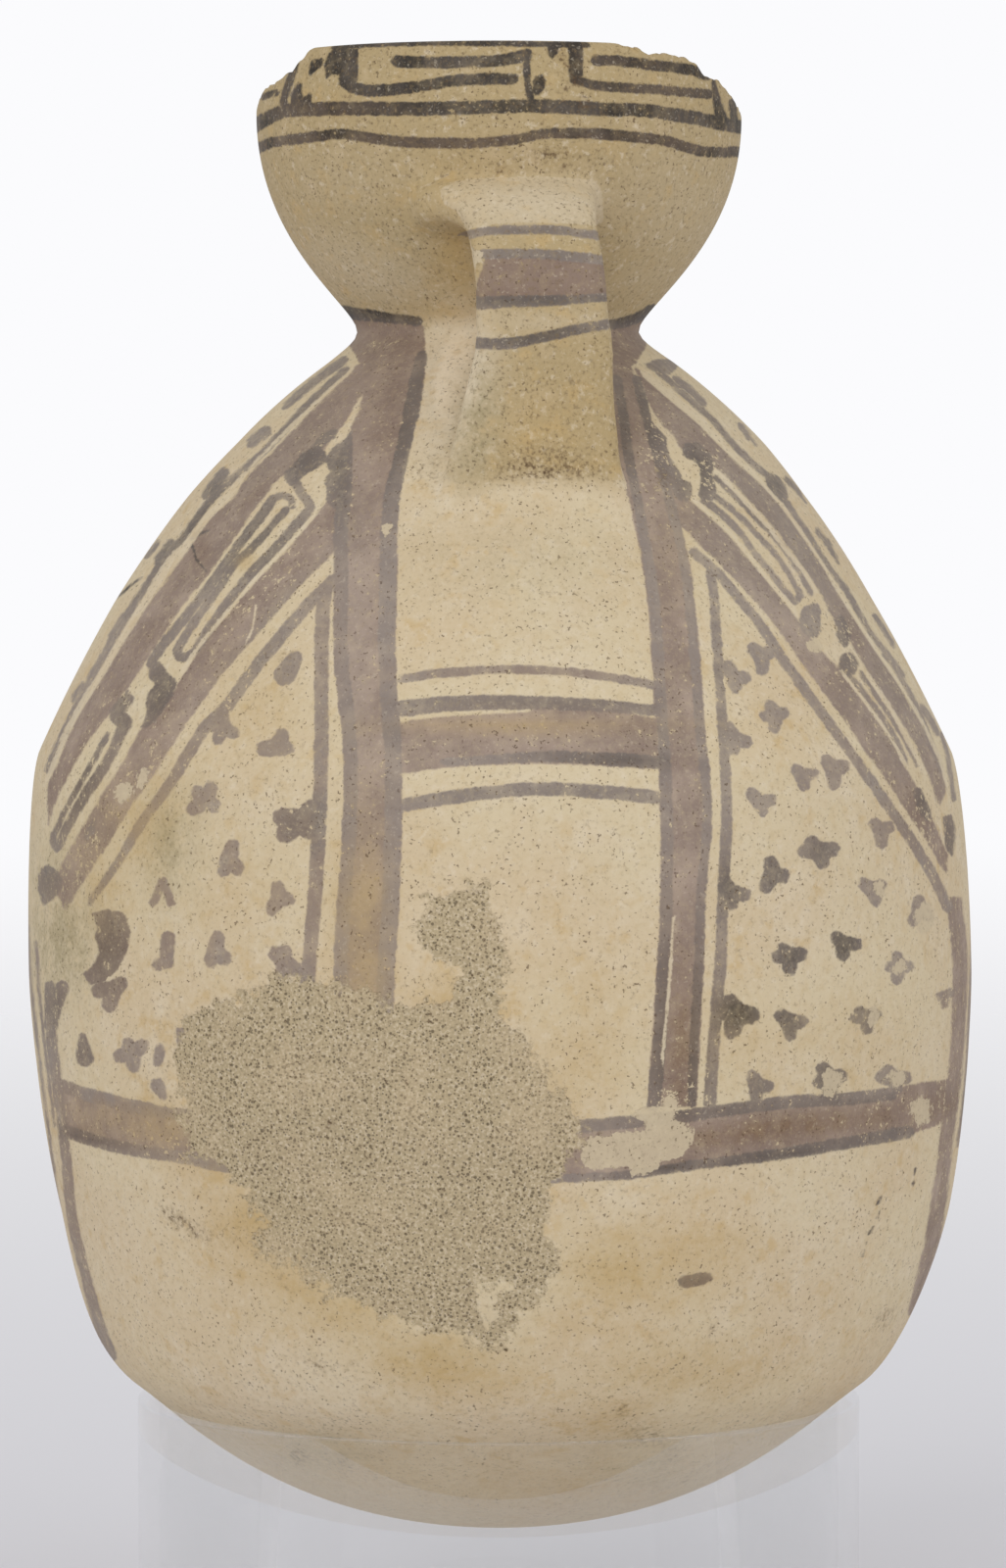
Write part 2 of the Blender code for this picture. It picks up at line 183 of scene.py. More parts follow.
# Painted marks. Every point is a place in the picture: pixels across and down.
# A run is (width, points): a brush stroke of that width in pixels, or of the widths named at its two ends.
INK_RUNS = (
    # Rim of the bowl
    (6, ((340, 48), (388, 45), (450, 44), (510, 44), (556, 45), (600, 46))),
    (12, ((351, 82), (360, 89), (374, 92), (391, 92), (416, 90), (441, 86), (466, 82), (510, 80),
          (524, 81))),
    (12, ((405, 62), (416, 63), (449, 64), (482, 63), (510, 62), (527, 59), (538, 56))),
    ((7, 8), ((537, 55), (538, 71), (539, 84), (542, 104))),
    (15, ((587, 42), (588, 60), (588, 79))),
    (10, ((586, 80), (598, 85), (613, 88), (646, 90), (687, 93), (724, 96))),
    (11, ((608, 61), (638, 63), (671, 67), (704, 71), (722, 77))),
    ((4, 13), ((729, 83), (732, 98), (737, 122))),
    (8, ((749, 104), (750, 128))),
    (8, ((302, 66), (296, 84), (291, 99), (289, 114))),
    (7, ((268, 99), (283, 94))),
    (14, ((258, 130), (270, 122), (281, 117), (293, 113), (316, 112), (350, 111), (391, 111), (432, 111),
          (466, 110), (510, 109), (538, 108), (571, 109), (604, 111), (638, 112), (662, 113), (687, 117),
          (712, 121), (737, 126), (758, 130))),
    (11, ((262, 152), (275, 146), (310, 141), (350, 137), (400, 144), (476, 146), (522, 143), (553, 137),
          (600, 136), (640, 139), (680, 144), (700, 150), (720, 155), (757, 155))),
    # Neck line
    ((13, 9), ((351, 318), (375, 322), (400, 325), (428, 328))),
    (11, ((612, 333), (632, 330), (652, 324), (666, 315))),
    # Left upright
    ((12, 17), ((431, 364), (427, 380), (424, 400), (419, 426))),
    ((14, 18), ((419, 424), (409, 470), (401, 503), (397, 545), (396, 580))),
    (18, ((396, 578), (395, 676), (401, 779), (399, 906), (395, 983), (393, 1022), (391, 1080),
          (388, 1150))),
    (15, ((352, 500), (348, 545), (348, 580), (347, 640), (348, 676), (354, 730), (357, 779), (356, 840),
          (352, 906), (348, 983), (350, 1012), (348, 1080), (345, 1148))),
    (15, ((332, 600), (329, 625), (328, 653), (327, 704), (327, 760), (325, 830), (320, 932), (315, 990),
          (313, 1012), (309, 1080), (305, 1142))),
    # Right upright
    ((10, 14), ((630, 386), (637, 430), (643, 473), (656, 537), (668, 613), (672, 680), (678, 778),
                (681, 864), (679, 967), (673, 1070), (668, 1128))),
    (10, ((650, 388), (664, 440), (682, 505), (698, 570), (705, 626), (714, 743), (721, 829), (716, 915),
          (714, 984), (709, 1070), (707, 1126))),
    ((10, 13), ((725, 582), (729, 606), (731, 643), (734, 690), (737, 743), (741, 829), (738, 915),
                (736, 984), (730, 1060), (725, 1126))),
    # Crossbar
    (9, ((408, 693), (450, 687), (529, 683), (600, 688), (669, 699))),
    ((17, 11), ((409, 723), (460, 718), (520, 717), (600, 719), (669, 725))),
    ((8, 15), ((452, 778), (518, 774), (560, 772), (625, 775), (671, 778))),
    (14, ((414, 821), (480, 811), (548, 805), (610, 808), (674, 814))),
    # Left slopes: the line beside the field, then the fret from the field outward
    (13, ((341, 591), (316, 615), (285, 651), (255, 687), (234, 716), (205, 746))),
    ((13, 7), ((205, 746), (188, 774), (168, 807), (150, 831), (136, 853), (122, 877), (107, 898),
               (91, 921))),
    (11, ((297, 485), (307, 501), (317, 516))),
    (10, ((317, 519), (297, 542), (276, 565), (255, 586), (238, 607), (224, 626), (209, 647), (198, 664))),
    (9, ((198, 663), (190, 671), (182, 671), (180, 664))),
    ((9, 8), ((180, 664), (192, 643), (209, 619), (226, 596), (238, 577), (255, 561), (268, 548), (281, 533),
              (293, 520))),
    (8, ((299, 516), (298, 509), (288, 505), (280, 510))),
    (10, ((280, 509), (259, 537), (243, 558), (226, 582), (209, 605), (192, 626), (175, 647), (160, 666),
          (154, 677))),
    ((12, 9), ((127, 738), (120, 756), (107, 782), (91, 806), (76, 831), (64, 854), (61, 863))),
    (7, ((62, 861), (58, 867), (54, 860), (56, 850))),
    (6, ((56, 852), (67, 828), (81, 802), (96, 776), (110, 749))),
    (8, ((353, 377), (325, 403), (297, 432), (272, 459), (255, 475))),
    (8, ((255, 475), (241, 487), (226, 500), (213, 514), (198, 535), (182, 556), (171, 567), (156, 590),
         (138, 616), (116, 652), (95, 690), (81, 717), (70, 740), (59, 764), (50, 786))),
    (8, ((352, 367), (318, 392), (292, 415))),
    (12, ((273, 440), (258, 452))),
    (12, ((230, 483), (212, 505))),
    (11, ((176, 555), (163, 572))),
    (5, ((163, 553), (150, 569))),
    (9, ((128, 628), (115, 650))),
    (9, ((86, 700), (77, 713))),
    # Right slopes
    ((10, 11), ((708, 564), (730, 582), (749, 604), (770, 629), (800, 674), (830, 716), (859, 756),
                (889, 798), (919, 841), (948, 887), (967, 926))),
    (7, ((716, 509), (736, 524), (754, 542), (770, 564), (784, 581), (801, 603), (808, 611))),
    (7, ((805, 608), (811, 614), (817, 609), (815, 602))),
    (6, ((815, 604), (803, 582), (792, 566), (770, 542), (754, 526), (744, 517), (733, 509), (728, 504))),
    (6, ((730, 486), (744, 500), (760, 515), (773, 530), (789, 546), (803, 564), (816, 584), (828, 606))),
    (6, ((865, 687), (889, 718), (911, 750), (925, 780))),
    (5, ((877, 686), (891, 706), (911, 736), (927, 762), (935, 781))),
    (7, ((672, 379), (688, 393), (703, 406), (729, 430), (748, 452), (765, 469), (782, 484))),
    (6, ((802, 511), (811, 525), (824, 544), (837, 566), (851, 587), (863, 603), (873, 622), (889, 648),
         (905, 669), (923, 700), (938, 728), (950, 759), (960, 786))),
    (8, ((690, 386), (704, 397), (719, 412))),
    (7, ((757, 434), (766, 446))),
    (3, ((764, 442), (774, 456))),
    (6, ((803, 488), (811, 497))),
    ((6, 2), ((809, 494), (823, 513))),
    ((5, 7), ((833, 541), (843, 554))),
    ((7, 2), ((843, 552), (855, 575))),
    (5, ((863, 604), (872, 621))),
    (5, ((891, 628), (901, 643), (911, 659))),
    (8, ((901, 667), (911, 677), (920, 691))),
    (7, ((939, 720), (948, 733), (956, 748))),
    (5, ((961, 748), (968, 779), (973, 816))),
    # Lower band
    (13, ((64, 1108), (90, 1117), (130, 1127), (172, 1136), (300, 1152), (450, 1158), (575, 1151),
          (700, 1139), (732, 1134), (802, 1125), (870, 1121), (912, 1116))),
    (13, ((66, 1154), (120, 1170), (181, 1180), (227, 1189), (330, 1198), (460, 1204))),
    ((8, 14), ((556, 1203), (591, 1202), (640, 1199), (702, 1190), (750, 1184), (802, 1177), (850, 1169),
               (880, 1164), (929, 1155))),
    # Side bands and thin lines at the limbs
    (11, ((50, 1006), (50, 1040), (57, 1100), (64, 1150), (69, 1200), (74, 1250), (86, 1300), (100, 1350),
          (114, 1384))),
    (3, ((26, 900), (31, 1000), (40, 1080), (50, 1160), (60, 1240))),
    (3, ((36, 960), (40, 1020), (48, 1090), (56, 1150))),
    (3, ((989, 880), (992, 960), (990, 1040), (986, 1110), (978, 1170))),
    # Blots of the flower fields
    (15, ((62, 1008), (55, 1028), (51, 1046))),
    ((8, 19), ((83, 1058), (86, 1079))),
    (11, ((163, 1070), (161, 1083))),
    ((15, 8), ((161, 1107), (168, 1120))),
    (8, ((183, 1052), (185, 1068))),
    (15, ((171, 958), (169, 978))),
    (14, ((171, 982), (161, 984))),
    (9, ((166, 899), (156, 922))),
    (9, ((166, 899), (174, 922))),
    ((14, 24), ((301, 671), (290, 688))),
)
# Marks that only happened once: a dark spot, dashes of an old scratch and stray fibres
STRAY_RUNS = (
    (13, ((698, 1308), (722, 1304))),
    (3, ((900, 1221), (897, 1229))),
    (2, ((899, 1236), (895, 1246))),
    (3, ((892, 1252), (887, 1261))),
    (2, ((885, 1266), (883, 1272))),
    (3, ((882, 1276), (880, 1283))),
    (2, ((936, 1191), (934, 1198))),
    (2, ((934, 1203), (933, 1210))),
    (2.6, ((195, 552), (201, 547), (209, 543), (220, 541))),
    (1.8, ((195, 551), (201, 544), (208, 538))),
    (2.4, ((195, 552), (199, 562), (201, 571), (207, 578), (212, 585))),
    (2.4, ((118, 611), (129, 602), (137, 595), (146, 590))),
)

# A field is a closed outline of straight sides.
INK_FIELDS = (
    # Stepped blocks of the bowl
    ((342, 46), (366, 50), (366, 84), (358, 92), (350, 90), (347, 77), (340, 76), (334, 81), (331, 70),
     (333, 60)),
    ((319, 61), (331, 59), (330, 69), (321, 73), (318, 79), (315, 73)),
    ((304, 84), (310, 84), (308, 94), (312, 100), (319, 93), (318, 114), (298, 114), (297, 98), (301, 91)),
    ((543, 78), (553, 76), (557, 83), (555, 93), (548, 98), (543, 95)),
    ((559, 45), (570, 43), (569, 55), (563, 61), (558, 53)),
    # Stepped left side of the left upright
    ((360, 436), (352, 450), (341, 454), (337, 462), (331, 470), (338, 480), (331, 490), (334, 502),
     (333, 512), (342, 520), (352, 520), (360, 512)),
    # Knob and blocks of the left fret
    ((288, 485), (300, 474), (309, 462), (318, 457), (323, 449), (328, 441), (346, 437), (345, 445),
     (328, 457), (334, 463), (335, 472), (320, 480), (310, 486), (300, 500)),
    ((158, 672), (150, 680), (152, 692), (158, 698), (151, 706), (148, 717), (149, 729), (143, 743),
     (153, 741), (164, 728), (177, 705), (181, 695), (170, 686), (164, 676)),
    ((118, 716), (130, 704), (137, 711), (136, 717), (128, 726), (135, 735), (134, 745), (126, 750),
     (119, 742), (110, 731)),
    ((39, 888), (50, 882), (60, 890), (64, 902), (56, 916), (44, 924), (38, 908)),
    ((84, 858), (90, 842), (98, 834), (97, 848), (89, 860)),
    # Big blot of the left field
    ((92, 932), (108, 928), (126, 931), (133, 952), (128, 973), (119, 990), (104, 1003), (90, 1005),
     (82, 994), (95, 985), (101, 969), (95, 955), (99, 945)),
    # Stepped right side of the right upright
    ((668, 434), (680, 446), (682, 460), (686, 471), (693, 478), (697, 490), (705, 491), (708, 503),
     (703, 513), (690, 508), (680, 488)),
    # Dark wedge below the neck
    ((655, 373), (668, 367), (689, 366), (694, 373), (684, 383), (670, 381)),
    # Blocks of the right fret
    ((697, 453), (712, 451), (724, 461), (732, 474), (727, 482), (729, 492), (733, 503), (729, 510),
     (717, 513), (713, 506), (716, 490), (712, 471), (697, 466)),
    ((819, 620), (832, 614), (838, 622), (836, 634), (839, 645), (832, 652), (820, 648), (814, 634)),
    ((850, 630), (858, 627), (866, 639), (868, 652), (862, 662), (854, 652)),
    ((857, 668), (868, 664), (876, 676), (873, 688), (864, 693), (856, 684)),
    ((779, 480), (788, 482), (796, 487), (802, 494), (805, 505), (803, 515), (794, 510), (784, 498)),
    ((931, 803), (940, 805), (951, 828), (949, 840), (940, 834), (933, 818)),
    ((962, 834), (971, 830), (975, 850), (972, 876), (965, 868)),
)
OLIVE_FIELDS = (
    ((366, 1179), (390, 1174), (418, 1177), (417, 1188), (380, 1187)),
)
# A belt is a field between two curves, each drawn from its first point to its last.
WASH_BELTS = (
    # Neck
    (((346, 320), (390, 326), (434, 331)), ((350, 340), (362, 362), (384, 392), (434, 380))),
    (((600, 334), (622, 333), (664, 320)), ((600, 384), (622, 384), (645, 374), (655, 360), (668, 340))),
    # Uprights
    (((380, 364), (373, 395), (366, 420), (358, 442), (352, 500), (345, 545), (341, 600), (341, 676),
      (350, 779), (346, 906), (342, 983), (343, 1016), (341, 1080), (338, 1150)),
     ((435, 362), (433, 390), (425, 426), (413, 470), (407, 503), (406, 580), (404, 676), (410, 779),
      (408, 906), (404, 983), (402, 1024), (400, 1080), (397, 1152))),
    (((606, 368), (612, 420), (630, 473), (648, 537), (661, 613), (665, 680), (671, 778), (674, 864),
      (672, 967), (665, 1070), (662, 1130)),
     ((643, 371), (655, 402), (664, 424), (680, 462), (694, 500), (696, 541), (705, 575), (710, 626),
      (712, 640), (719, 743), (726, 829), (720, 915), (719, 984), (712, 1130))),
    # Crossbar
    (((405, 737), (470, 730), (535, 727), (550, 722), (640, 725), (655, 731), (672, 733)),
     ((405, 791), (450, 784), (518, 780), (580, 780), (640, 783), (672, 786))),
    # Left slopes, the upper edge first
    (((384, 356), (369, 368), (359, 378), (332, 405), (305, 434), (283, 457), (255, 485), (238, 510),
      (219, 526), (194, 560), (182, 576), (165, 600), (150, 619), (128, 652), (105, 690), (87, 719),
      (72, 748), (61, 776), (49, 802)),
     ((390, 392), (371, 402), (352, 432), (338, 450), (322, 470), (288, 487), (268, 510), (247, 540),
      (213, 586), (182, 624), (163, 653), (150, 672), (142, 686), (128, 705), (118, 720), (110, 731),
      (96, 749), (77, 780), (57, 820), (50, 843))),
    (((345, 498), (330, 517), (308, 543), (287, 567), (266, 588), (245, 611), (224, 636), (205, 659),
      (184, 692), (171, 713), (156, 731), (143, 745), (125, 778), (102, 815), (83, 847), (63, 882),
      (54, 904)),
     ((344, 560), (340, 565), (318, 586), (297, 609), (276, 632), (255, 655), (238, 674), (221, 695),
      (192, 735), (172, 765), (152, 797), (137, 817), (125, 837), (110, 863), (94, 886), (80, 907),
      (66, 930))),
    # Right slopes, the upper edge first
    (((646, 372), (659, 386), (686, 410), (714, 433), (731, 451), (752, 471), (775, 492), (799, 519),
      (820, 549), (839, 578), (856, 608), (872, 633), (888, 658), (918, 702), (941, 741), (957, 775),
      (966, 804)),
     ((658, 400), (667, 421), (676, 434), (686, 443), (697, 460), (713, 470), (730, 477), (744, 488),
      (762, 508), (776, 522), (792, 541), (808, 563), (824, 585), (836, 605), (850, 632), (866, 655),
      (877, 672), (885, 686), (911, 726), (927, 749), (946, 788), (958, 824))),
    (((696, 502), (707, 512), (744, 546), (765, 571), (789, 600), (813, 631), (838, 664), (855, 682),
      (879, 713), (911, 758), (926, 787), (943, 815), (955, 845), (967, 872)),
     ((684, 528), (696, 538), (718, 559), (744, 585), (765, 608), (786, 631), (802, 654), (836, 701),
      (867, 744), (895, 784), (923, 825), (950, 867), (966, 894))),
    # Lower band
    (((60, 1104), (100, 1116), (168, 1131), (300, 1146), (450, 1152), (590, 1146), (700, 1134), (802, 1120),
      (870, 1116), (930, 1107), (974, 1100)),
     ((66, 1158), (120, 1173), (181, 1184), (227, 1192), (330, 1202), (460, 1208), (591, 1205),
      (702, 1194), (802, 1181), (880, 1168), (927, 1158), (966, 1146))),
    # Band at the right side
    (((965, 915), (972, 980), (972, 1040), (969, 1100), (961, 1155), (955, 1200), (949, 1236), (943, 1271),
      (934, 1306), (926, 1341)),
     ((981, 915), (988, 980), (987, 1040), (983, 1100), (975, 1155), (969, 1200), (964, 1236), (957, 1271),
      (947, 1306), (932, 1345))),
)
# Fine bare lines and flakes inside the painted parts
PALE_RUNS = (
    (3, ((326, 521), (306, 543), (286, 565), (265, 586), (243, 611))),
    ((3, 5), ((243, 611), (222, 635), (204, 657), (184, 688))),
    (3, ((360, 377), (332, 402), (301, 432), (280, 453), (253, 481))),
    ((5, 8), ((252, 481), (233, 507), (213, 527), (192, 555), (177, 568))),
    ((8, 6), ((177, 568), (160, 594), (147, 617), (124, 654), (102, 691), (84, 719), (68, 748))),
    ((6, 3), ((68, 748), (57, 776), (45, 804))),
    (8, ((658, 381), (690, 408), (717, 431))),
    ((8, 4), ((717, 431), (734, 449), (754, 469), (776, 490))),
    (3, ((776, 490), (800, 518), (821, 548), (840, 577), (857, 607), (889, 657), (919, 701), (942, 740),
         (958, 774), (967, 804))),
    (4, ((709, 511), (743, 541), (765, 567), (789, 597), (811, 623), (814, 629))),
    (4, ((729, 480), (736, 486), (754, 504), (770, 522), (784, 537), (802, 561), (819, 582), (835, 607))),
    (3, ((857, 684), (885, 720), (911, 757), (927, 786))),
    (4, ((883, 686), (911, 728), (928, 760), (944, 790))),
    (3, ((688, 933), (684, 1000), (676, 1088))),
    (2, ((261, 615), (257, 640), (250, 658))),
)
PALE_FIELDS = (
    ((824, 653), (834, 650), (840, 658), (836, 666), (826, 664)),
    ((116, 812), (122, 800), (132, 796), (137, 806), (128, 820)),
    ((140, 790), (149, 786), (150, 800), (142, 806)),
    ((893, 898), (902, 899), (904, 909), (898, 916), (892, 912)),
    ((932, 928), (942, 922), (953, 926), (953, 944), (942, 953), (935, 946)),
    ((908, 982), (920, 979), (930, 986), (922, 996), (910, 993)),
    ((885, 1030), (895, 1026), (898, 1038), (892, 1047), (884, 1042)),
    ((392, 538), (398, 536), (403, 546), (396, 552)),
    ((640, 1136), (662, 1132), (676, 1128), (678, 1112), (688, 1112), (693, 1124), (690, 1140), (704, 1150),
     (712, 1162), (702, 1172), (692, 1182), (674, 1186), (668, 1196), (648, 1199), (640, 1190), (620, 1194),
     (600, 1190), (592, 1176), (600, 1160), (622, 1156), (650, 1158), (668, 1152), (664, 1146)),
    ((840, 1100), (846, 1092), (858, 1094), (863, 1108), (854, 1120), (842, 1116)),
    ((906, 1098), (914, 1091), (926, 1096), (926, 1108), (914, 1111)),
    ((930, 1126), (942, 1119), (953, 1124), (952, 1142), (940, 1150), (932, 1140)),
    ((86, 760), (92, 756), (91, 765), (84, 770)),
)
# Flower marks: place, size in pixels, turn in degrees, count of lobes
FLOWERS = (
    (226, 743, 30, 20, 4), (282, 763, 34, -70, 3), (209, 817, 34, 45, 4), (304, 838, 46, -50, 4),
    (232, 878, 34, 40, 3), (285, 916, 32, 25, 3), (113, 1011, 36, 95, 3), (219, 971, 34, 35, 3),
    (292, 983, 34, 30, 4), (134, 1075, 32, 75, 4), (777, 669, 31, -10, 3), (748, 692, 31, 0, 3),
    (791, 730, 29, -5, 4), (748, 754, 31, 5, 3), (818, 791, 28, -9, 3), (851, 785, 33, -4, 3),
    (774, 818, 29, -15, 3), (899, 847, 29, -9, 3), (836, 869, 36, -10, 4), (789, 892, 34, 25, 3),
    (746, 911, 33, 0, 3), (890, 908, 29, -20, 3), (938, 930, 28, 30, 3), (807, 976, 33, -5, 4),
    (861, 963, 31, 0, 3), (919, 987, 28, 5, 4), (753, 1035, 43, 10, 4), (806, 1043, 33, -5, 3),
    (885, 1038, 29, -10, 4), (774, 1109, 31, 5, 3), (849, 1102, 34, -10, 4), (914, 1101, 31, -5, 4),
    (966, 1016, 21, 90, 3),
)
LOBE_TURNS = {3: (0, 88, 238), 4: (0, 93, 185, 242)}
LOBE_LENGTH = 0.39
LOBE_WIDTHS = (0.56, 0.44)
LOBE_UNEVEN = (1.0, 0.80, 1.14, 0.90, 1.05)
LOBE_SWING = 60.0

# Handle, in the same pixels
STRAP_INK_RUNS = (
    (9, ((472, 242), (490, 237), (509, 235), (545, 234), (580, 236), (620, 242))),
    (10, ((493, 259), (520, 259), (545, 259), (585, 262), (626, 267))),
    ((14, 8), ((480, 309), (500, 309), (516, 308), (555, 307), (626, 303))),
    ((12, 10), ((476, 349), (500, 351), (516, 351), (545, 346), (585, 337), (630, 329))),
)
STRAP_WASH_BELTS = (
    (((496, 262), (545, 262), (626, 268)), ((482, 306), (545, 306), (626, 302))),
)
STRAP_PALE_FIELDS = (
    ((482, 250), (489, 252), (493, 260), (493, 268), (486, 270), (480, 262)),
)
# Pale field on the strap's upward-facing root: partly paler slip, partly a painted highlight
ROOT_PALE_AND_LIT = (
    (449, 193), (462, 186), (485, 182), (509, 181), (545, 180), (576, 181), (604, 183), (614, 192),
    (616, 231), (580, 228), (545, 227), (509, 228), (476, 234), (466, 216), (452, 206),
)

# How far the strap's darker face reaches to the left of its middle, by height above the jar's lowest point
STRAP_FACE_EDGE = ((0.240, 0.0250), (0.255, 0.0205), (0.268, 0.0170), (0.281, 0.0152), (0.300, 0.0142))

# Where the slip has worn away from the body, and a flake of slip left inside it
WORN_OUTLINE = (
    (180, 1045), (193, 1035), (230, 1020), (283, 1000), (300, 993), (345, 1003), (385, 1010), (400, 1026),
    (430, 1030), (455, 1022), (470, 1010), (467, 990), (440, 985), (427, 950), (448, 930), (443, 915),
    (470, 915), (495, 905), (500, 935), (510, 970), (513, 1010), (520, 1040), (545, 1070), (560, 1110),
    (580, 1130), (600, 1150), (575, 1190), (560, 1230), (565, 1280), (560, 1310), (530, 1340), (520, 1365),
    (500, 1372), (430, 1355), (365, 1330), (320, 1310), (300, 1290), (260, 1282), (265, 1250), (250, 1215),
    (225, 1195), (195, 1170), (185, 1130), (175, 1080),
)
WORN_FLAKE = ((490, 1314), (505, 1308), (520, 1316), (514, 1332), (502, 1350), (492, 1340))
WORN_DEPTH = 0.00030

# Stains and tones: place, half sizes across and down in pixels, turn in degrees, strength
OCHRE_AND_SHADE_STAINS = (
    (280, 1245, 70, 46, 20, 0.75), (240, 1200, 60, 30, 20, 0.5), (170, 1260, 60, 60, 20, 0.15),
    (335, 1325, 90, 30, 20, 0.6), (450, 1388, 62, 26, 8, 0.85), (590, 1350, 60, 30, 0, 0.25),
    (650, 1295, 66, 34, 0, 0.7), (720, 1270, 50, 20, 0, 0.4), (640, 1450, 50, 24, 0, 0.45),
    (560, 1120, 34, 40, 0, 0.4), (600, 1080, 46, 40, 0, 0.35), (372, 900, 22, 70, 0, 0.55),
    (372, 960, 24, 90, 0, 1.0), (365, 1000, 24, 24, 0, 0.6), (480, 1012, 40, 26, 0, 0.45),
    (450, 1020, 30, 20, 0, 0.45), (860, 1060, 70, 40, 0, 0.2), (760, 1060, 50, 40, 0, 0.25),
    (130, 860, 40, 70, 35, 0.55), (110, 900, 30, 50, 35, 0.5), (240, 905, 60, 40, 0, 0.2),
    (165, 1150, 50, 18, 12, 0.75), (110, 1140, 40, 16, 12, 0.45), (800, 1150, 60, 12, -7, 0.12),
    # Three of these, at (466, 272), (450, 316) and (450, 200), are painted shade on the bowl left of the
    # handle
    (262, 725, 34, 44, 0, 0.3), (540, 1500, 160, 30, 0, 0.25), (466, 272, 18, 36, 0, 0.7),
    (450, 316, 30, 10, 0, 0.6), (545, 440, 74, 34, 0, 0.25), (540, 740, 130, 7, 0, 0.6),
    (590, 1010, 40, 26, 0, 0.3), (690, 560, 20, 60, 0, 0.2), (250, 570, 9, 7, -40, 0.7),
    (450, 200, 50, 26, 0, 0.3), (700, 1400, 80, 30, 0, 0.38),
)
OLIVE_STAINS = (
    (64, 960, 30, 46, 0, 0.85), (56, 900, 24, 40, 0, 0.5), (172, 862, 22, 46, 0, 0.7),
    (185, 830, 20, 22, 0, 0.45), (330, 1475, 40, 20, 10, 0.35), (400, 240, 50, 60, 0, 0.22),
    (660, 1500, 60, 30, 0, 0.25), (730, 530, 20, 20, 0, 0.2), (520, 570, 120, 40, 0, 0.25),
    (488, 432, 20, 46, 8, 0.95),
)
DIRT_AND_SHADE_STAINS = (
    # The first two, under the strap's foot, are soil and painted shade in the crease there
    (560, 480, 50, 10, -3, 0.8), (555, 468, 56, 22, -2, 0.5), (470, 480, 20, 12, 0, 0.2),
    (575, 415, 60, 70, 0, 0.22), (436, 480, 16, 20, 20, 0.45), (672, 488, 16, 14, 0, 0.6),
    (560, 157, 30, 6, 0, 0.75), (510, 174, 6, 4, 0, 0.9), (455, 179, 5, 3, 0, 0.7),
    (575, 172, 5, 4, 0, 0.7), (500, 152, 80, 8, 0, 0.25), (600, 165, 40, 10, 0, 0.25),
    (573, 58, 5, 5, 0, 1.1), (579, 67, 4, 4, 0, 1.0), (578, 88, 4, 4, 0, 1.0), (597, 104, 9, 7, 20, 0.9),
    (588, 84, 7, 5, 0, 0.9), (467, 98, 6, 6, 0, 0.6), (390, 62, 14, 4, 0, 0.4), (445, 278, 10, 10, 0, 0.35),
    (692, 1309, 5, 4, 0, 0.6), (180, 1242, 16, 6, 38, 0.9), (200, 1256, 16, 6, 30, 0.75),
    (228, 1264, 24, 12, 25, 0.3), (344, 1241, 4, 4, 0, 1.2), (335, 1148, 7, 6, 0, 0.6),
    (290, 668, 12, 4, -20, 0.5), (345, 318, 14, 8, 0, 0.4), (660, 1465, 30, 10, 20, 0.45),
    (320, 1392, 26, 6, 20, 0.55), (904, 1343, 12, 10, -40, 0.5), (305, 1486, 10, 8, 30, 0.6),
    (350, 1489, 4, 6, 0, 0.6), (417, 1516, 10, 2, 40, 0.8), (360, 1391, 8, 6, 0, 0.5),
    (243, 1410, 3, 8, 0, 0.5), (726, 1360, 5, 10, 15, 0.5), (635, 1439, 12, 8, -20, 0.5),
)
# Cleaner, paler places of the slip, and painted light: (464, 385) lightens the shoulder behind the handle and
# (540, 206) the strap's upward-facing root
CLEAN_AND_LIT_PLACES = (
    (540, 206, 74, 22, 0, 0.55), (550, 328, 80, 10, 0, 0.4), (464, 385, 30, 70, 10, 1.5),
    (690, 215, 60, 60, 0, 0.28), (380, 280, 80, 30, 20, 0.5), (140, 1260, 70, 70, 0, 0.55),
    (550, 1500, 200, 40, 0, 0.85), (310, 1420, 90, 40, 0, 0.55), (820, 1260, 60, 50, 0, 0.25),
    (830, 1075, 90, 30, 0, 0.3), (650, 285, 60, 22, -20, 0.25), (452, 500, 10, 26, -12, 0.8),
    (640, 525, 30, 12, 30, 0.3), (360, 190, 60, 30, 0, 0.2), (830, 960, 50, 60, 0, 0.25),
    (430, 960, 30, 40, 0, 0.35), (950, 1070, 14, 26, 0, 0.5), (649, 1335, 9, 4, -5, 1.6),
    (604, 1369, 8, 5, 0, 1.1), (556, 1357, 3, 3, 0, 1.6),
)
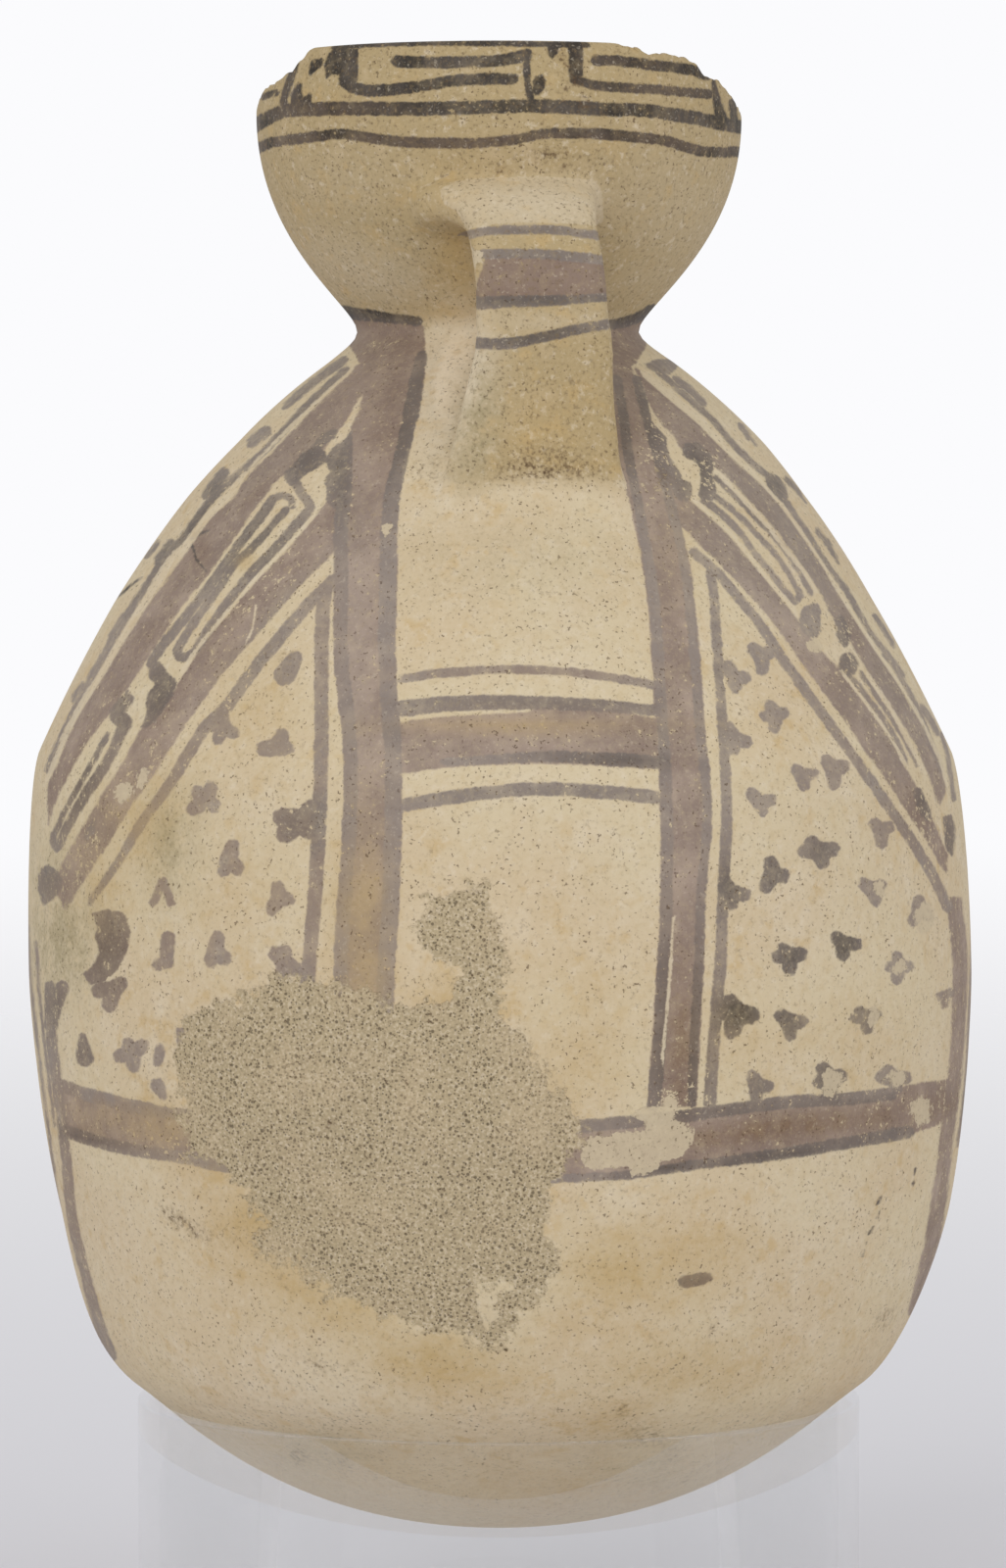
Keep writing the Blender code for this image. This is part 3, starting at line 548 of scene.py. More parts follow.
# Where the paints are darker, and where the black has turned brown
DEEP_PLACES = (
    (753, 1036, 26, 26, 0, 1.0), (395, 430, 36, 70, 6, 0.6), (330, 430, 60, 34, -40, 0.45),
    (655, 440, 34, 60, 0, 0.55), (715, 445, 40, 24, 40, 0.45), (710, 1306, 30, 20, 0, 0.5),
    (807, 976, 20, 22, 0, 0.8), (861, 963, 18, 24, 0, 0.8), (806, 1043, 18, 24, 0, 0.7),
    (885, 1038, 20, 20, 0, 0.6), (789, 892, 20, 26, 0, 0.65), (746, 905, 16, 30, 0, 0.6),
    (836, 869, 22, 24, 0, 0.45), (774, 1109, 22, 16, 0, 0.4), (849, 1102, 24, 24, 0, 0.6),
    (800, 1178, 130, 10, -8, 0.62), (672, 1192, 44, 8, -8, 0.7), (800, 1150, 170, 15, -7, 0.95),
    (740, 1133, 110, 9, -5, 0.45), (889, 1252, 30, 44, 0, 0.9), (934, 1200, 10, 20, 0, 0.8),
    (694, 1060, 30, 100, 0, 0.75), (400, 344, 60, 22, 4, 0.65), (640, 345, 40, 30, 0, 0.15),
    (315, 470, 36, 34, 0, 0.5), (348, 485, 16, 44, 0, 0.5), (426, 400, 14, 50, 8, 0.4),
    (163, 706, 18, 40, 20, 0.6), (127, 728, 14, 26, 0, 0.5), (50, 900, 16, 24, 0, 0.4),
    (108, 966, 26, 42, 0, 0.65), (57, 1026, 14, 26, 0, 0.45), (85, 1074, 16, 20, 0, 0.4),
    (304, 838, 26, 26, 0, 0.4), (792, 496, 16, 18, 0, 0.5), (714, 480, 24, 34, 0, 0.6),
    (865, 660, 20, 34, 0, 0.5), (940, 820, 16, 24, 0, 0.5), (968, 854, 10, 24, 0, 0.6),
    (548, 810, 140, 10, 0, 0.25), (90, 1160, 40, 8, 12, 0.6), (548, 306, 80, 10, 0, 0.7),
    (550, 342, 64, 14, -8, 0.75), (545, 236, 80, 10, 0, 0.35), (545, 260, 80, 10, 0, 0.35),
    (660, 1090, 14, 60, 0, 0.35), (545, 285, 70, 22, 0, 0.2), (735, 700, 8, 80, 0, 0.18),
    (800, 1152, 150, 30, -7, 0.35), (540, 750, 130, 14, 0, 0.35), (548, 718, 130, 10, 0, 0.35),
    (620, 775, 70, 10, 3, 0.6), (250, 656, 60, 40, -50, 0.15), (262, 505, 34, 8, -45, 0.75),
    (262, 598, 100, 9, -47, 0.45), (155, 644, 34, 14, -52, 0.4), (300, 482, 14, 10, -45, 0.4),
    (361, 430, 16, 14, 0, 0.5), (218, 500, 20, 8, -50, 0.6), (170, 560, 14, 6, -55, 0.6),
    (745, 472, 36, 12, 45, 0.35), (775, 520, 24, 14, 50, 0.35), (264, 552, 52, 44, -45, 0.5),
    (200, 548, 70, 26, -52, 0.65), (78, 800, 26, 50, 20, 0.6), (868, 580, 60, 18, 55, 0.3),
    (204, 560, 14, 26, 0, 1.0), (130, 602, 16, 10, -40, 1.0),
)
RUST_PLACES = (
    (710, 1306, 30, 20, 0, 1.0), (200, 900, 130, 150, 0, 0.85), (120, 980, 80, 90, 0, 0.8),
    (322, 880, 26, 170, 0, 0.7), (150, 840, 70, 70, 0, 0.8), (110, 1140, 100, 36, 12, 0.65),
    (965, 1120, 34, 260, 0, 0.8), (70, 1230, 40, 200, 0, 0.8), (540, 688, 150, 12, 0, 0.7),
    (700, 1000, 60, 140, 0, 0.35), (930, 850, 60, 90, 0, 0.55), (870, 780, 90, 90, 0, 0.35),
    (510, 146, 280, 9, 0, 0.8), (330, 112, 60, 9, 0, 0.45), (680, 92, 60, 9, 0, 0.5),
    (640, 64, 40, 8, 0, 0.35), (275, 96, 14, 10, 0, 0.6), (800, 1152, 150, 12, -7, 0.8),
    (696, 1070, 12, 90, 0, 0.8), (230, 700, 50, 60, 0, 0.4), (120, 1142, 80, 26, 12, 0.8),
    (330, 660, 20, 100, 0, 0.45), (548, 724, 140, 12, 0, 0.25),
)
# Where the purple-brown is greyer
GREY_PLACES = (
    (790, 530, 50, 150, -38, 1.0), (720, 430, 40, 40, 0, 0.8), (300, 470, 40, 110, 42, 0.5),
    (900, 700, 40, 130, -30, 0.6), (760, 590, 30, 90, -42, 0.5), (360, 600, 16, 300, 0, 0.25),
    (280, 630, 100, 10, -48, 0.9),
)
# Where the paint has flaked more
LOSS_PLACES = (
    (150, 800, 30, 50, 35, 0.9), (80, 890, 40, 60, 20, 0.9), (722, 484, 18, 34, 0, 1.0),
    (740, 530, 18, 20, 0, 0.5), (862, 660, 18, 38, 0, 0.9), (826, 640, 12, 20, 0, 0.5),
    (905, 730, 20, 60, -35, 0.7), (880, 760, 20, 90, -35, 0.5), (950, 850, 24, 50, 0, 1.0),
    (690, 1120, 60, 30, 0, 0.7), (966, 1060, 14, 200, 0, 0.7), (60, 1120, 20, 140, 0, 0.7),
    (85, 1270, 20, 100, 0, 0.5), (180, 1165, 60, 20, 12, 0.9), (370, 990, 40, 30, 0, 0.4),
    (270, 605, 60, 14, -45, 0.6), (900, 1110, 50, 30, 0, 0.7), (80, 800, 50, 90, 25, 0.5),
    (880, 560, 60, 120, -35, 0.35), (238, 715, 24, 24, 0, 0.8), (320, 870, 20, 90, 0, 0.3),
    (300, 838, 30, 30, 0, 0.4), (112, 960, 24, 40, 0, 0.4), (668, 470, 16, 40, 0, 1.2),
    (685, 488, 20, 22, 0, 0.8), (500, 110, 60, 10, 0, 0.4), (262, 598, 100, 10, -47, 0.5),
)

# Ring stand
RING_WALL = 0.0050
RING_SEGMENTS = 192
RING_EDGE_STEPS = 4
RING_SHARP_ANGLE = 50.0

# Strokes kept for each triangle
SLOTS = 3
# Pixels: beyond every stroke, near enough to a stroke to be kept, and between the steps of a run
FAR = 60.0
NEAR = 13.0
RUN_STEP = 6.0
# Turn in degrees at which a run is cut into pieces
SHARP_TURN = 60.0
# Least number that anything is divided by
TINY = 1e-9
# How fast a stain thins out from its middle
STAIN_FALL = 0.7

# Strap, hollow, the strap's outer face and the wall, told by the distance outside the body, in metres
STRAP_GAP = 0.0007
HOLLOW_GAP = -0.0022
STRAP_FACE_GAP = 0.0010
STRAP_FACE_GAP_FADE = 0.0030
STRAP_FACE_SIDE_FADE = 0.0010
WALL_GAP = 0.0002
WALL_GAP_FADE = 0.0004
# How far below the broken edge the wall is bare
BROKEN_DEPTH = 0.0022
BROKEN_DEPTH_FADE = 0.0008
# Height over which the body's slip turns into the mouth's, centred on the neck
MOUTH_CHANGE = 0.008
# Turns in degrees where the marks of the front alone start to fade, and over how much they do
FRONT_END = 82.0
FRONT_FADE = 14.0
# How flaked the paint is behind
BACK_LOSS = 0.35

# Grains of the slip and the clay, in metres
BROAD_GRAIN = 0.045
CLOUD_GRAIN = 0.014
PATCH_GRAIN = 0.006
FINE_GRAIN = 0.0022
SAND_GRAIN = 0.0010
DUST_GRAIN = 0.0007
SPECK_GRAIN = 0.00085
BIG_SPECK_GRAIN = 0.0017
RELIEF = 0.00035

# Lamps: place, what each is aimed at, and width, in metres
KEY_LAMP = ((-1.1, -1.5, 1.35), (0.0, 0.0, 0.22), 0.9)
FILL_LAMP = ((1.5, -1.1, 0.9), (0.0, 0.0, 0.2), 1.1)
LOW_LAMP = ((-0.3, -1.9, 0.70), (0.0, 0.0, 0.10), 0.5)
SKY_COLOUR = (251, 251, 253)
FLOOR_SEGMENTS = 96
FLOOR_DROP = 0.0002


def srgb(red, green, blue):
    """A colour given as 0 to 255 per channel, turned into linear light."""
    shares = (red / 255.0, green / 255.0, blue / 255.0)
    return tuple(s / 12.92 if s <= 0.04045 else ((s + 0.055) / 1.055) ** 2.4 for s in shares)


def tint(name, description, colour):
    """A setting that holds a colour, given as 0 to 255 per channel."""
    return bpy.props.FloatVectorProperty(
        name=name, description=description, default=srgb(*colour), size=3, min=0.0, max=1.0, subtype="COLOR"
    )


def number(name, description, default, **limits):
    """A setting that holds a number from 0 up."""
    return bpy.props.FloatProperty(name=name, description=description, default=default, min=0.0, **limits)


def length(name, description, default):
    """A setting in metres."""
    return number(name, description, default, unit="LENGTH")


def power(name, description, default):
    """A lamp's power in watts."""
    return number(name, description, default, unit="POWER")


class JarSizes(bpy.types.PropertyGroup):
    """Sizes of the jar's walls and handle"""

    body_wall: length("Body wall", "Thickness of the body's wall", 0.0065)
    bowl_wall: length("Bowl wall", "Thickness of the cup mouth's wall", 0.0050)
    handle_width: length("Handle width", "Width of the strap handle halfway down", 0.0295)
    handle_thickness: length("Handle thickness", "Thickness of the strap handle", 0.0090)
    lip_round: length("Lip rounding", "Radius of the whole lip's edge", 0.0014)
    unevenness: length("Unevenness", "How far the hand-made wall swells and sinks", 0.0004)


class JarColours(bpy.types.PropertyGroup):
    """Colours of the slip, the paints, the clay and the stains"""

    slip: tint("Slip", "Cream slip of the body", (221, 204, 170))
    # Pale slip also serves as painted light behind the handle and on the strap's root
    slip_pale: tint("Pale slip", "Cleaner and paler places of the slip", (230, 215, 189))
    # Painted light: the brightest slip lightens the shoulder behind the handle, and a few small pale flakes
    # low on the body
    slip_bright_and_lit: tint("Brightest slip", "Cleanest slip, behind the handle", (248, 230, 201))
    slip_shade: tint("Slip shade", "Fine darker mottling of the slip", (203, 181, 140))
    flake: tint("Flaked places", "Clay where the paint has flaked off", (202, 184, 155))
    slip_warm: tint("Warm slip", "Warmer and pinker places of the slip", (215, 193, 158))
    bowl_slip: tint("Mouth slip", "Darker and yellower slip of the mouth and handle", (181, 159, 116))
    ink: tint("Black paint", "Thin greyish black paint", (150, 137, 128))
    ink_thin: tint("Thinnest black paint", "Black paint where it is thinnest", (174, 159, 143))
    ink_deep: tint("Thick black paint", "Black paint where it is thick", (38, 32, 28))
    ink_brown: tint("Browned paint", "Black paint that has turned brown", (148, 124, 106))
    wash: tint("Purple-brown paint", "Purple-brown paint of the broad bands", (148, 129, 117))
    wash_thin: tint("Thin brown paint", "Purple-brown paint where it is thin", (178, 158, 143))
    wash_grey: tint("Greyed brown paint", "Purple-brown paint where it is greyer", (152, 139, 128))
    wash_deep: tint("Thick brown paint", "Purple-brown paint where it is thick", (130, 107, 92))
    wash_rust: tint("Rusty brown paint", "Purple-brown paint that has turned rusty", (122, 93, 68))
    clay: tint("Bare clay", "Clay where the slip has worn away", (192, 174, 140))
    grit: tint("Grit", "Grey-brown grains in the bare clay", (134, 120, 96))
    grit_dark: tint("Dark grit", "Finest and darkest grains in the bare clay", (92, 80, 60))
    broken: tint("Broken edge", "Clay along the broken rim", (170, 148, 120))
    # This colour also paints shade on the bowl left of the handle
    ochre: tint("Ochre stain", "Rusty yellow stains", (203, 171, 113))
    olive: tint("Olive stain", "Grey-green deposit", (166, 152, 117))
    # This colour also paints shade in the crease under the strap's foot
    dirt: tint("Dirt", "Dark brown soil", (92, 68, 44))


class RingFinish(bpy.types.PropertyGroup):
    """Look and edges of the clear ring"""

    colour: tint("Colour", "Body colour of the clear ring", (246, 249, 250))
    roughness: number("Roughness", "Haze of the ring", 0.03, max=1.0)
    refraction: bpy.props.FloatProperty(
        name="Refraction", description="Refractive index", default=1.49, min=1.0
    )
    density: number("Density", "How much of it shows", 0.20, max=1.0)
    edge: length("Edge rounding", "Radius of the ring's edges", 0.0006)


class StudioSettings(bpy.types.PropertyGroup):
    """Floor and light"""

    floor_radius: length("Floor radius", "Radius of the pale floor", 4.7)
    floor_colour: tint("Floor colour", "Colour of the floor", (232, 231, 237))
    air_strength: number("Soft light", "Light from all round", 0.62)
    key_power: power("Key lamp", "Power of the lamp at the upper left", 7.4)
    low_power: power("Low lamp", "Power of the low lamp in front", 2.3)
    fill_power: power("Fill lamp", "Power of the lamp at the right", 4.6)


def slope_vector(degrees):
    """The way outward and up that a slope has."""
    return np.array((math.cos(math.radians(degrees)), math.sin(math.radians(degrees))))


def ramp(value, start, span):
    """0 up to the start, 1 a span further on, even between."""
    return np.clip((value - start) / span, 0.0, 1.0)


def bezier(start, leave, arrive, end, steps):
    """Points of one curve, from its start to its end."""
    t = np.linspace(0.0, 1.0, steps)[:, None]
    start, leave, arrive, end = (np.asarray(p, float) for p in (start, leave, arrive, end))
    return (
        start * (1 - t) ** 3
        + leave * 3 * t * (1 - t) ** 2
        + arrive * 3 * t**2 * (1 - t)
        + end * t**3
    )


def lengths_along(points):
    """How far along a line each of its points lies."""
    steps = np.linalg.norm(np.diff(points, axis=0), axis=1)
    return np.concatenate(((0.0,), np.cumsum(steps)))


def points_at(points, lengths, at):
    """Points of a flat line at these distances along it."""
    return np.stack((np.interp(at, lengths, points[:, 0]), np.interp(at, lengths, points[:, 1])), axis=1)


def jar_outline():
    """Dense (radius, height) points of the jar's outside, from its lowest point up."""
    points = [np.array(((0.0, 0.0),))]
    for low, high in zip(OUTLINE, OUTLINE[1:]):
        leave = np.array(low[0]) + slope_vector(low[1]) * low[3]
        arrive = np.array(high[0]) - slope_vector(high[1]) * high[2]
        points.append(bezier(low[0], leave, arrive, high[0], OUTLINE_STEPS)[1:])
    return np.concatenate(points)


def jar_hollow(outside, sizes):
    """(radius, height) points one wall inside the outside, measured square to it."""
    along = np.gradient(outside, axis=0)
    inward = np.stack((-along[:, 1], along[:, 0]), axis=1)
    inward /= np.linalg.norm(inward, axis=1)[:, None]
    share = np.clip((outside[:, 1] - NECK[1]) / WALL_CHANGE_SPAN + 0.5, 0.0, 1.0)
    wall = sizes.body_wall + (sizes.bowl_wall - sizes.body_wall) * share
    inside = outside + inward * wall[:, None]
    inside[0] = (0.0, sizes.body_wall)
    return inside


class JarForm:
    """The jar's outline outside and inside."""

    def __init__(self, sizes):
        self.sizes = sizes
        self.outside = jar_outline()
        self.inside = jar_hollow(self.outside, sizes)

    def radius(self, height):
        """Radius of the outside at a height."""
        return np.interp(height, self.outside[:, 1], self.outside[:, 0])

    def hollow_radius(self, height):
        """Radius of the hollow at a height."""
        return np.interp(height, self.inside[:, 1], self.inside[:, 0])

    def rows(self, points, low, high, spacing):
        """Points along an outline between two heights, evenly spaced."""
        lengths = lengths_along(points)
        start, end = np.interp((low, high), points[:, 1], lengths)
        count = max(2, round(abs(end - start) / spacing) + 1)
        return points_at(points, lengths, np.linspace(start, end, count))


def waves(turn, height, seed, turns, lifts=(1.0,)):
    """Smooth unevenness between -1 and 1 over the turn and the height."""
    random = np.random.default_rng(seed)
    total = np.zeros(np.broadcast(turn, height).shape)
    for count in turns:
        for lift in lifts:
            phase, other = random.uniform(0.0, math.tau, 2)
            total = total + np.sin(count * turn + phase) * np.sin(height * lift + other)
    return total / math.sqrt(len(turns) * len(lifts))


def break_drop(turn):
    """How far the broken edge lies below the whole lip at a turn in radians, and how broken it is."""
    degrees = (np.degrees(turn) + 180.0) % 360.0 - 180.0
    drop = np.interp(degrees, *np.transpose(BREAK_LINE))
    broken = ramp(drop, 0.0, BREAK_FADE)
    jag = sum(waves(turn, 0.0, seed, turns) * share for seed, turns, share in BREAK_JAGS)
    return np.maximum(drop + jag * BREAK_ROUGHNESS * broken, 0.0), broken


def around(turn, radius, height):
    """Places on the jar from turns towards +X, radii and heights over its lowest point."""
    places = (radius * np.sin(turn), -radius * np.cos(turn), height + LIFT)
    return np.stack(np.broadcast_arrays(*places), axis=-1)


def column_turns():
    """Turns of the mesh's columns, finer in front, in radians."""
    front = np.linspace(-FRONT_SPAN, FRONT_SPAN, FRONT_COLUMNS + 1)
    back = np.linspace(FRONT_SPAN, 360.0 - FRONT_SPAN, BACK_COLUMNS + 1)[1:-1]
    return np.radians(np.concatenate((front, back)))


def column_step(radius):
    """Every how many columns a low ring of this radius has a point."""
    for widest, step in COLUMN_STEPS:
        if radius < widest:
            return step
    return LEAST_COLUMN_STEP


class RingStack:
    """A closed surface made of rings of points, each joined to the next."""

    def __init__(self):
        self.points = []
        self.faces = []
        self.count = 0
        self.last = None

    def add(self, turns, places):
        """Puts one more ring on top, with a place for each turn."""
        first = self.count
        self.points.append(places.reshape(-1, 3))
        self.count += len(turns)
        ring = np.arange(first, first + len(turns))
        if self.last is not None:
            self.join(self.last[0], self.last[1], turns, ring)
        self.last = (turns, ring)

    def join(self, low_turns, low, high_turns, high):
        """Triangles between two rings, or between a ring and a single point."""
        if len(low) == len(high):
            after_low, after_high = np.roll(low, -1), np.roll(high, -1)
            self.faces.append(np.stack((low, after_low, after_high), axis=1))
            self.faces.append(np.stack((low, after_high, high), axis=1))
            return
        if len(low) == 1 or len(high) == 1:
            many = low if len(high) == 1 else high
            after = np.roll(many, -1)
            tip = np.full(len(many), high[0] if len(high) == 1 else low[0])
            corners = (many, after, tip) if len(high) == 1 else (after, many, tip)
            self.faces.append(np.stack(corners, axis=1))
            return
        self.faces.append(np.array(self.zip_up(low_turns, low, high_turns, high)))

    def zip_up(self, low_turns, low, high_turns, high):
        """Triangles between two rings of different counts that start at the same turn."""
        i = j = 0
        made = []
        low_ends = np.append(low_turns[1:], low_turns[0] + math.tau)
        high_ends = np.append(high_turns[1:], high_turns[0] + math.tau)
        while i < len(low) or j < len(high):
            if j >= len(high) or (i < len(low) and low_ends[i] <= high_ends[j]):
                made.append((low[i], low[(i + 1) % len(low)], high[j % len(high)]))
                i += 1
            else:
                made.append((low[i % len(low)], high[(j + 1) % len(high)], high[j]))
                j += 1
        return made

    def arrays(self):
        """All points and triangles."""
        return np.concatenate(self.points), np.concatenate(self.faces)


def add_outside(stack, form, turns, top):
    """Rings of the outside, from the lowest point up to the broken edge."""
    lip = LIP[1]
    start = lip - RIM_ROOM
    stack.add(turns[:1], around(np.zeros(1), 0.0, 0.0))
    for radius, height in form.rows(form.outside, 0.0, HEEL[1], LOW_ROW)[1:-1]:
        sparse = turns[:: column_step(radius)]
        stack.add(sparse, around(sparse, radius, height))
    for radius, height in form.rows(form.outside, HEEL[1], lip, ROW):
        share = ramp(height, start, lip - start)
        level = height - share * (lip - top)
        stack.add(turns, around(turns, np.where(share > 0.0, form.radius(level), radius), level))


def add_edge(stack, form, turns, top, inner_top, broken):
    """Rings over the rim, rounded where it is whole and rough where it is broken."""
    lip_round = form.sizes.lip_round
    outer_radius = form.radius(top)
    inner_radius = form.hollow_radius(inner_top)
    for n, (across, rise) in enumerate(RIM_SECTION):
        grain = waves(turns, 0.0, EDGE_GRAIN_SEED + n, EDGE_GRAIN_WAVES) * BREAK_ROUGHNESS * EDGE_GRAIN
        radius = outer_radius + (inner_radius - outer_radius) * across
        flatness = broken * (BROKEN_RISE - rise) * BROKEN_FLATNESS
        height = top + (inner_top - top) * across + lip_round * (rise + flatness)
        stack.add(turns, around(turns, radius, height + grain * broken))


def add_hollow(stack, form, turns, inner_top):
    """Rings of the hollow, from the rim down to its floor."""
    lip = LIP[1]
    floor = form.sizes.body_wall
    start = lip - RIM_ROOM
    for n, (radius, height) in enumerate(form.rows(form.inside, lip, INNER_CHANGE, INNER_RIM_ROW)):
        share = ramp(height, start, lip - start)
        level = height - share * (lip - inner_top)
        sparse = slice(None, None, 1 if n < INNER_WHOLE_ROWS else 2)
        stack.add(turns[sparse], around(turns[sparse], form.hollow_radius(level[sparse]), level[sparse]))
    for radius, height in form.rows(form.inside, INNER_CHANGE, floor, INNER_ROW)[1:-1]:
        sparse = turns[:: max(column_step(radius), INNER_COLUMN_STEP)]
        stack.add(sparse, around(sparse, radius, height))
    stack.add(turns[:1], around(np.zeros(1), 0.0, floor))


def jar_shell(form):
    """The jar without its handle: outside, rim and hollow as one closed surface."""
    turns = column_turns()
    drop, broken = break_drop(turns)
    lip_round = form.sizes.lip_round
    top = LIP[1] - drop - lip_round
    rough = waves(turns, 0.0, *INNER_EDGE_WAVES)
    inner_top = top - INNER_EDGE_DROP * lip_round + BREAK_ROUGHNESS * broken * rough
    stack = RingStack()
    add_outside(stack, form, turns, top)
    add_edge(stack, form, turns, top, inner_top, broken)
    add_hollow(stack, form, turns, inner_top)
    return stack.arrays()


def strap_path(form):
    """The strap's middle line as (radius, height) points, and how far along it each lies."""
    sizes = form.sizes
    top = LIP[1] - HANDLE_TOP_BELOW_LIP
    root = np.array((form.radius(top) - sizes.bowl_wall / 2.0, top))
    bend = np.array((NECK[0] + HANDLE_OUT, top - HANDLE_BEND_DROP))
    foot_height = NECK[1] - HANDLE_FOOT_BELOW_NECK
    foot_side = np.array((form.radius(foot_height), foot_height))
    above = foot_height + HANDLE_FOOT_REACH
    slope = np.array((form.radius(above), above)) - foot_side
    slope /= np.linalg.norm(slope)
    inward = np.array((-slope[1], slope[0]))
    foot = foot_side + inward * (sizes.handle_thickness / 2.0 + HANDLE_FOOT_SINK)
    fall = (bend[1] - foot[1]) / 3.0
    over = bend + (0.0, HANDLE_BEND_REACH)
    upper = bezier(root, root + (HANDLE_BEND_REACH, 0.0), over, bend, STRAP_STEPS)
    lower = bezier(bend, bend - (0.0, fall), foot + slope * HANDLE_FOOT_REACH, foot, STRAP_STEPS)
    path = np.concatenate((upper, lower[1:]))
    lengths = lengths_along(path)
    at = np.linspace(0.0, lengths[-1], STRAP_RINGS)
    return points_at(path, lengths, at), at


def strap_section():
    """Shares of the half width and the half thickness round the strap, flat with rounded edges."""
    angle = math.tau * (np.arange(STRAP_SIDES) + 0.5) / STRAP_SIDES
    roundness = 2.0 / HANDLE_ROUNDNESS
    wide = np.copysign(np.abs(np.cos(angle)) ** roundness, np.cos(angle))
    thick = np.copysign(np.abs(np.sin(angle)) ** roundness, np.sin(angle))
    return wide, thick


def strap_rings(form):
    """The strap's rings of points, with both ends inside the wall."""
    sizes = form.sizes
    path, at = strap_path(form)
    along = np.gradient(path, axis=0)
    along /= np.linalg.norm(along, axis=1)[:, None]
    top_share = np.maximum(0.0, 1.0 - at / HANDLE_TOP_SWELL_SPAN) ** 2
    root_share = np.maximum(0.0, 1.0 - at / HANDLE_TOP_FLARE_SPAN) ** HANDLE_TOP_FLARE_FALL
    foot_share = np.maximum(0.0, 1.0 - (at[-1] - at) / HANDLE_FOOT_FLARE_SPAN) ** 2
    half_width = sizes.handle_width / 2.0 + HANDLE_FOOT_FLARE * foot_share
    half_thick = sizes.handle_thickness / 2.0 + HANDLE_TOP_SWELL * top_share
    wide, thick = strap_section()
    out = path[:, None, 0] + thick * (half_thick * along[:, 1])[:, None]
    up = path[:, None, 1] - thick * (half_thick * along[:, 0])[:, None]
    flare = np.where(wide > 0.0, HANDLE_TOP_FLARES[0], HANDLE_TOP_FLARES[1])
    side = wide[None, :] * (half_width[:, None] + flare[None, :] * root_share[:, None])
    side += np.interp(at / at[-1], *np.transpose(HANDLE_SIDEWAYS))[:, None]
    reach = np.hypot(out, side)
    limit = form.radius(up) - STRAP_DEPTH_IN_WALL
    out = np.where(reach < limit, out * limit / np.maximum(reach, NECK[0] / 2.0), out)
    reach = np.hypot(out[0], side[0])
    out[0] *= (form.radius(up[0]) - STRAP_DEPTH_IN_WALL - HANDLE_TOP_SINK) / reach
    turn = math.radians(HANDLE_TURN)
    outward = np.array((math.sin(turn), -math.cos(turn), 0.0))
    across = np.array((math.cos(turn), math.sin(turn), 0.0))
    points = out[..., None] * outward + side[..., None] * across
    points[..., 2] += up + LIFT
    return points


def strap_surface(form):
    """The handle as a closed bar whose faces look outward."""
    points = strap_rings(form)
    stack = RingStack()
    places = np.arange(STRAP_SIDES, dtype=float)
    stack.add(places[:1], points[0].mean(axis=0))
    for ring in points:
        stack.add(places, ring)
    stack.add(places[:1], points[-1].mean(axis=0))
    vertices, faces = stack.arrays()
    a, b, c = (vertices[faces[:, k]] for k in range(3))
    if np.einsum("ij,ij->i", a, np.cross(b, c)).sum() < 0.0:
        faces = faces[:, ::-1]
    return vertices, faces


def mesh_from(name, points, faces):
    """A smooth mesh from points and triangles."""
    made = bpy.data.meshes.new(name)
    made.vertices.add(len(points))
    made.vertices.foreach_set("co", np.asarray(points, np.float32).ravel())
    made.loops.add(len(faces) * 3)
    made.loops.foreach_set("vertex_index", np.asarray(faces, np.int32).ravel())
    made.polygons.add(len(faces))
    made.polygons.foreach_set("loop_start", np.arange(0, len(faces) * 3, 3, dtype=np.int32))
    made.polygons.foreach_set("use_smooth", np.ones(len(faces), dtype=bool))
    made.update(calc_edges=True)
    return made


def place(name, data, surface):
    """Puts a mesh with its material into the scene."""
    made = bpy.data.objects.new(name, data)
    data.materials.append(surface)
    bpy.context.scene.collection.objects.link(made)
    return made


def united(shell, strap, surface):
    """One closed surface from the shell and the strap, as points and triangles."""
    body = place("jar_shell", mesh_from("jar_shell", *shell), surface)
    bar = place("jar_strap", mesh_from("jar_strap", *strap), surface)
    step = body.modifiers.new("strap", "BOOLEAN")
    step.operation = "UNION"
    step.solver = "EXACT"
    step.object = bar
    bpy.context.view_layer.update()
    data = bpy.data.meshes.new_from_object(body.evaluated_get(bpy.context.evaluated_depsgraph_get()))
    data.calc_loop_triangles()
    points = np.empty(len(data.vertices) * 3)
    data.vertices.foreach_get("co", points)
    faces = np.empty(len(data.loop_triangles) * 3, dtype=np.int32)
    data.loop_triangles.foreach_get("vertices", faces)
    for item in (body, bar):
        bpy.data.objects.remove(item, do_unlink=True)
    return points.reshape(-1, 3), faces.reshape(-1, 3)


def edges_of(faces):
    """Each edge of the triangles once, as a pair of points."""
    pairs = np.concatenate((faces[:, (0, 1)], faces[:, (1, 2)], faces[:, (2, 0)]))
    return np.unique(np.sort(pairs, axis=1), axis=0)


def distance_to(points, others, reach, batch=2000):
    """How far each point lies from the nearest of the others, or 1 where that is beyond reach."""
    near = np.flatnonzero(np.abs(points - others.mean(axis=0)).max(axis=1) < reach)
    gap = np.full(len(points), 1.0)
    for start in range(0, len(near), batch):
        part = near[start : start + batch]
        gap[part] = np.linalg.norm(points[part][:, None] - others[None], axis=2).min(axis=1)
    return gap


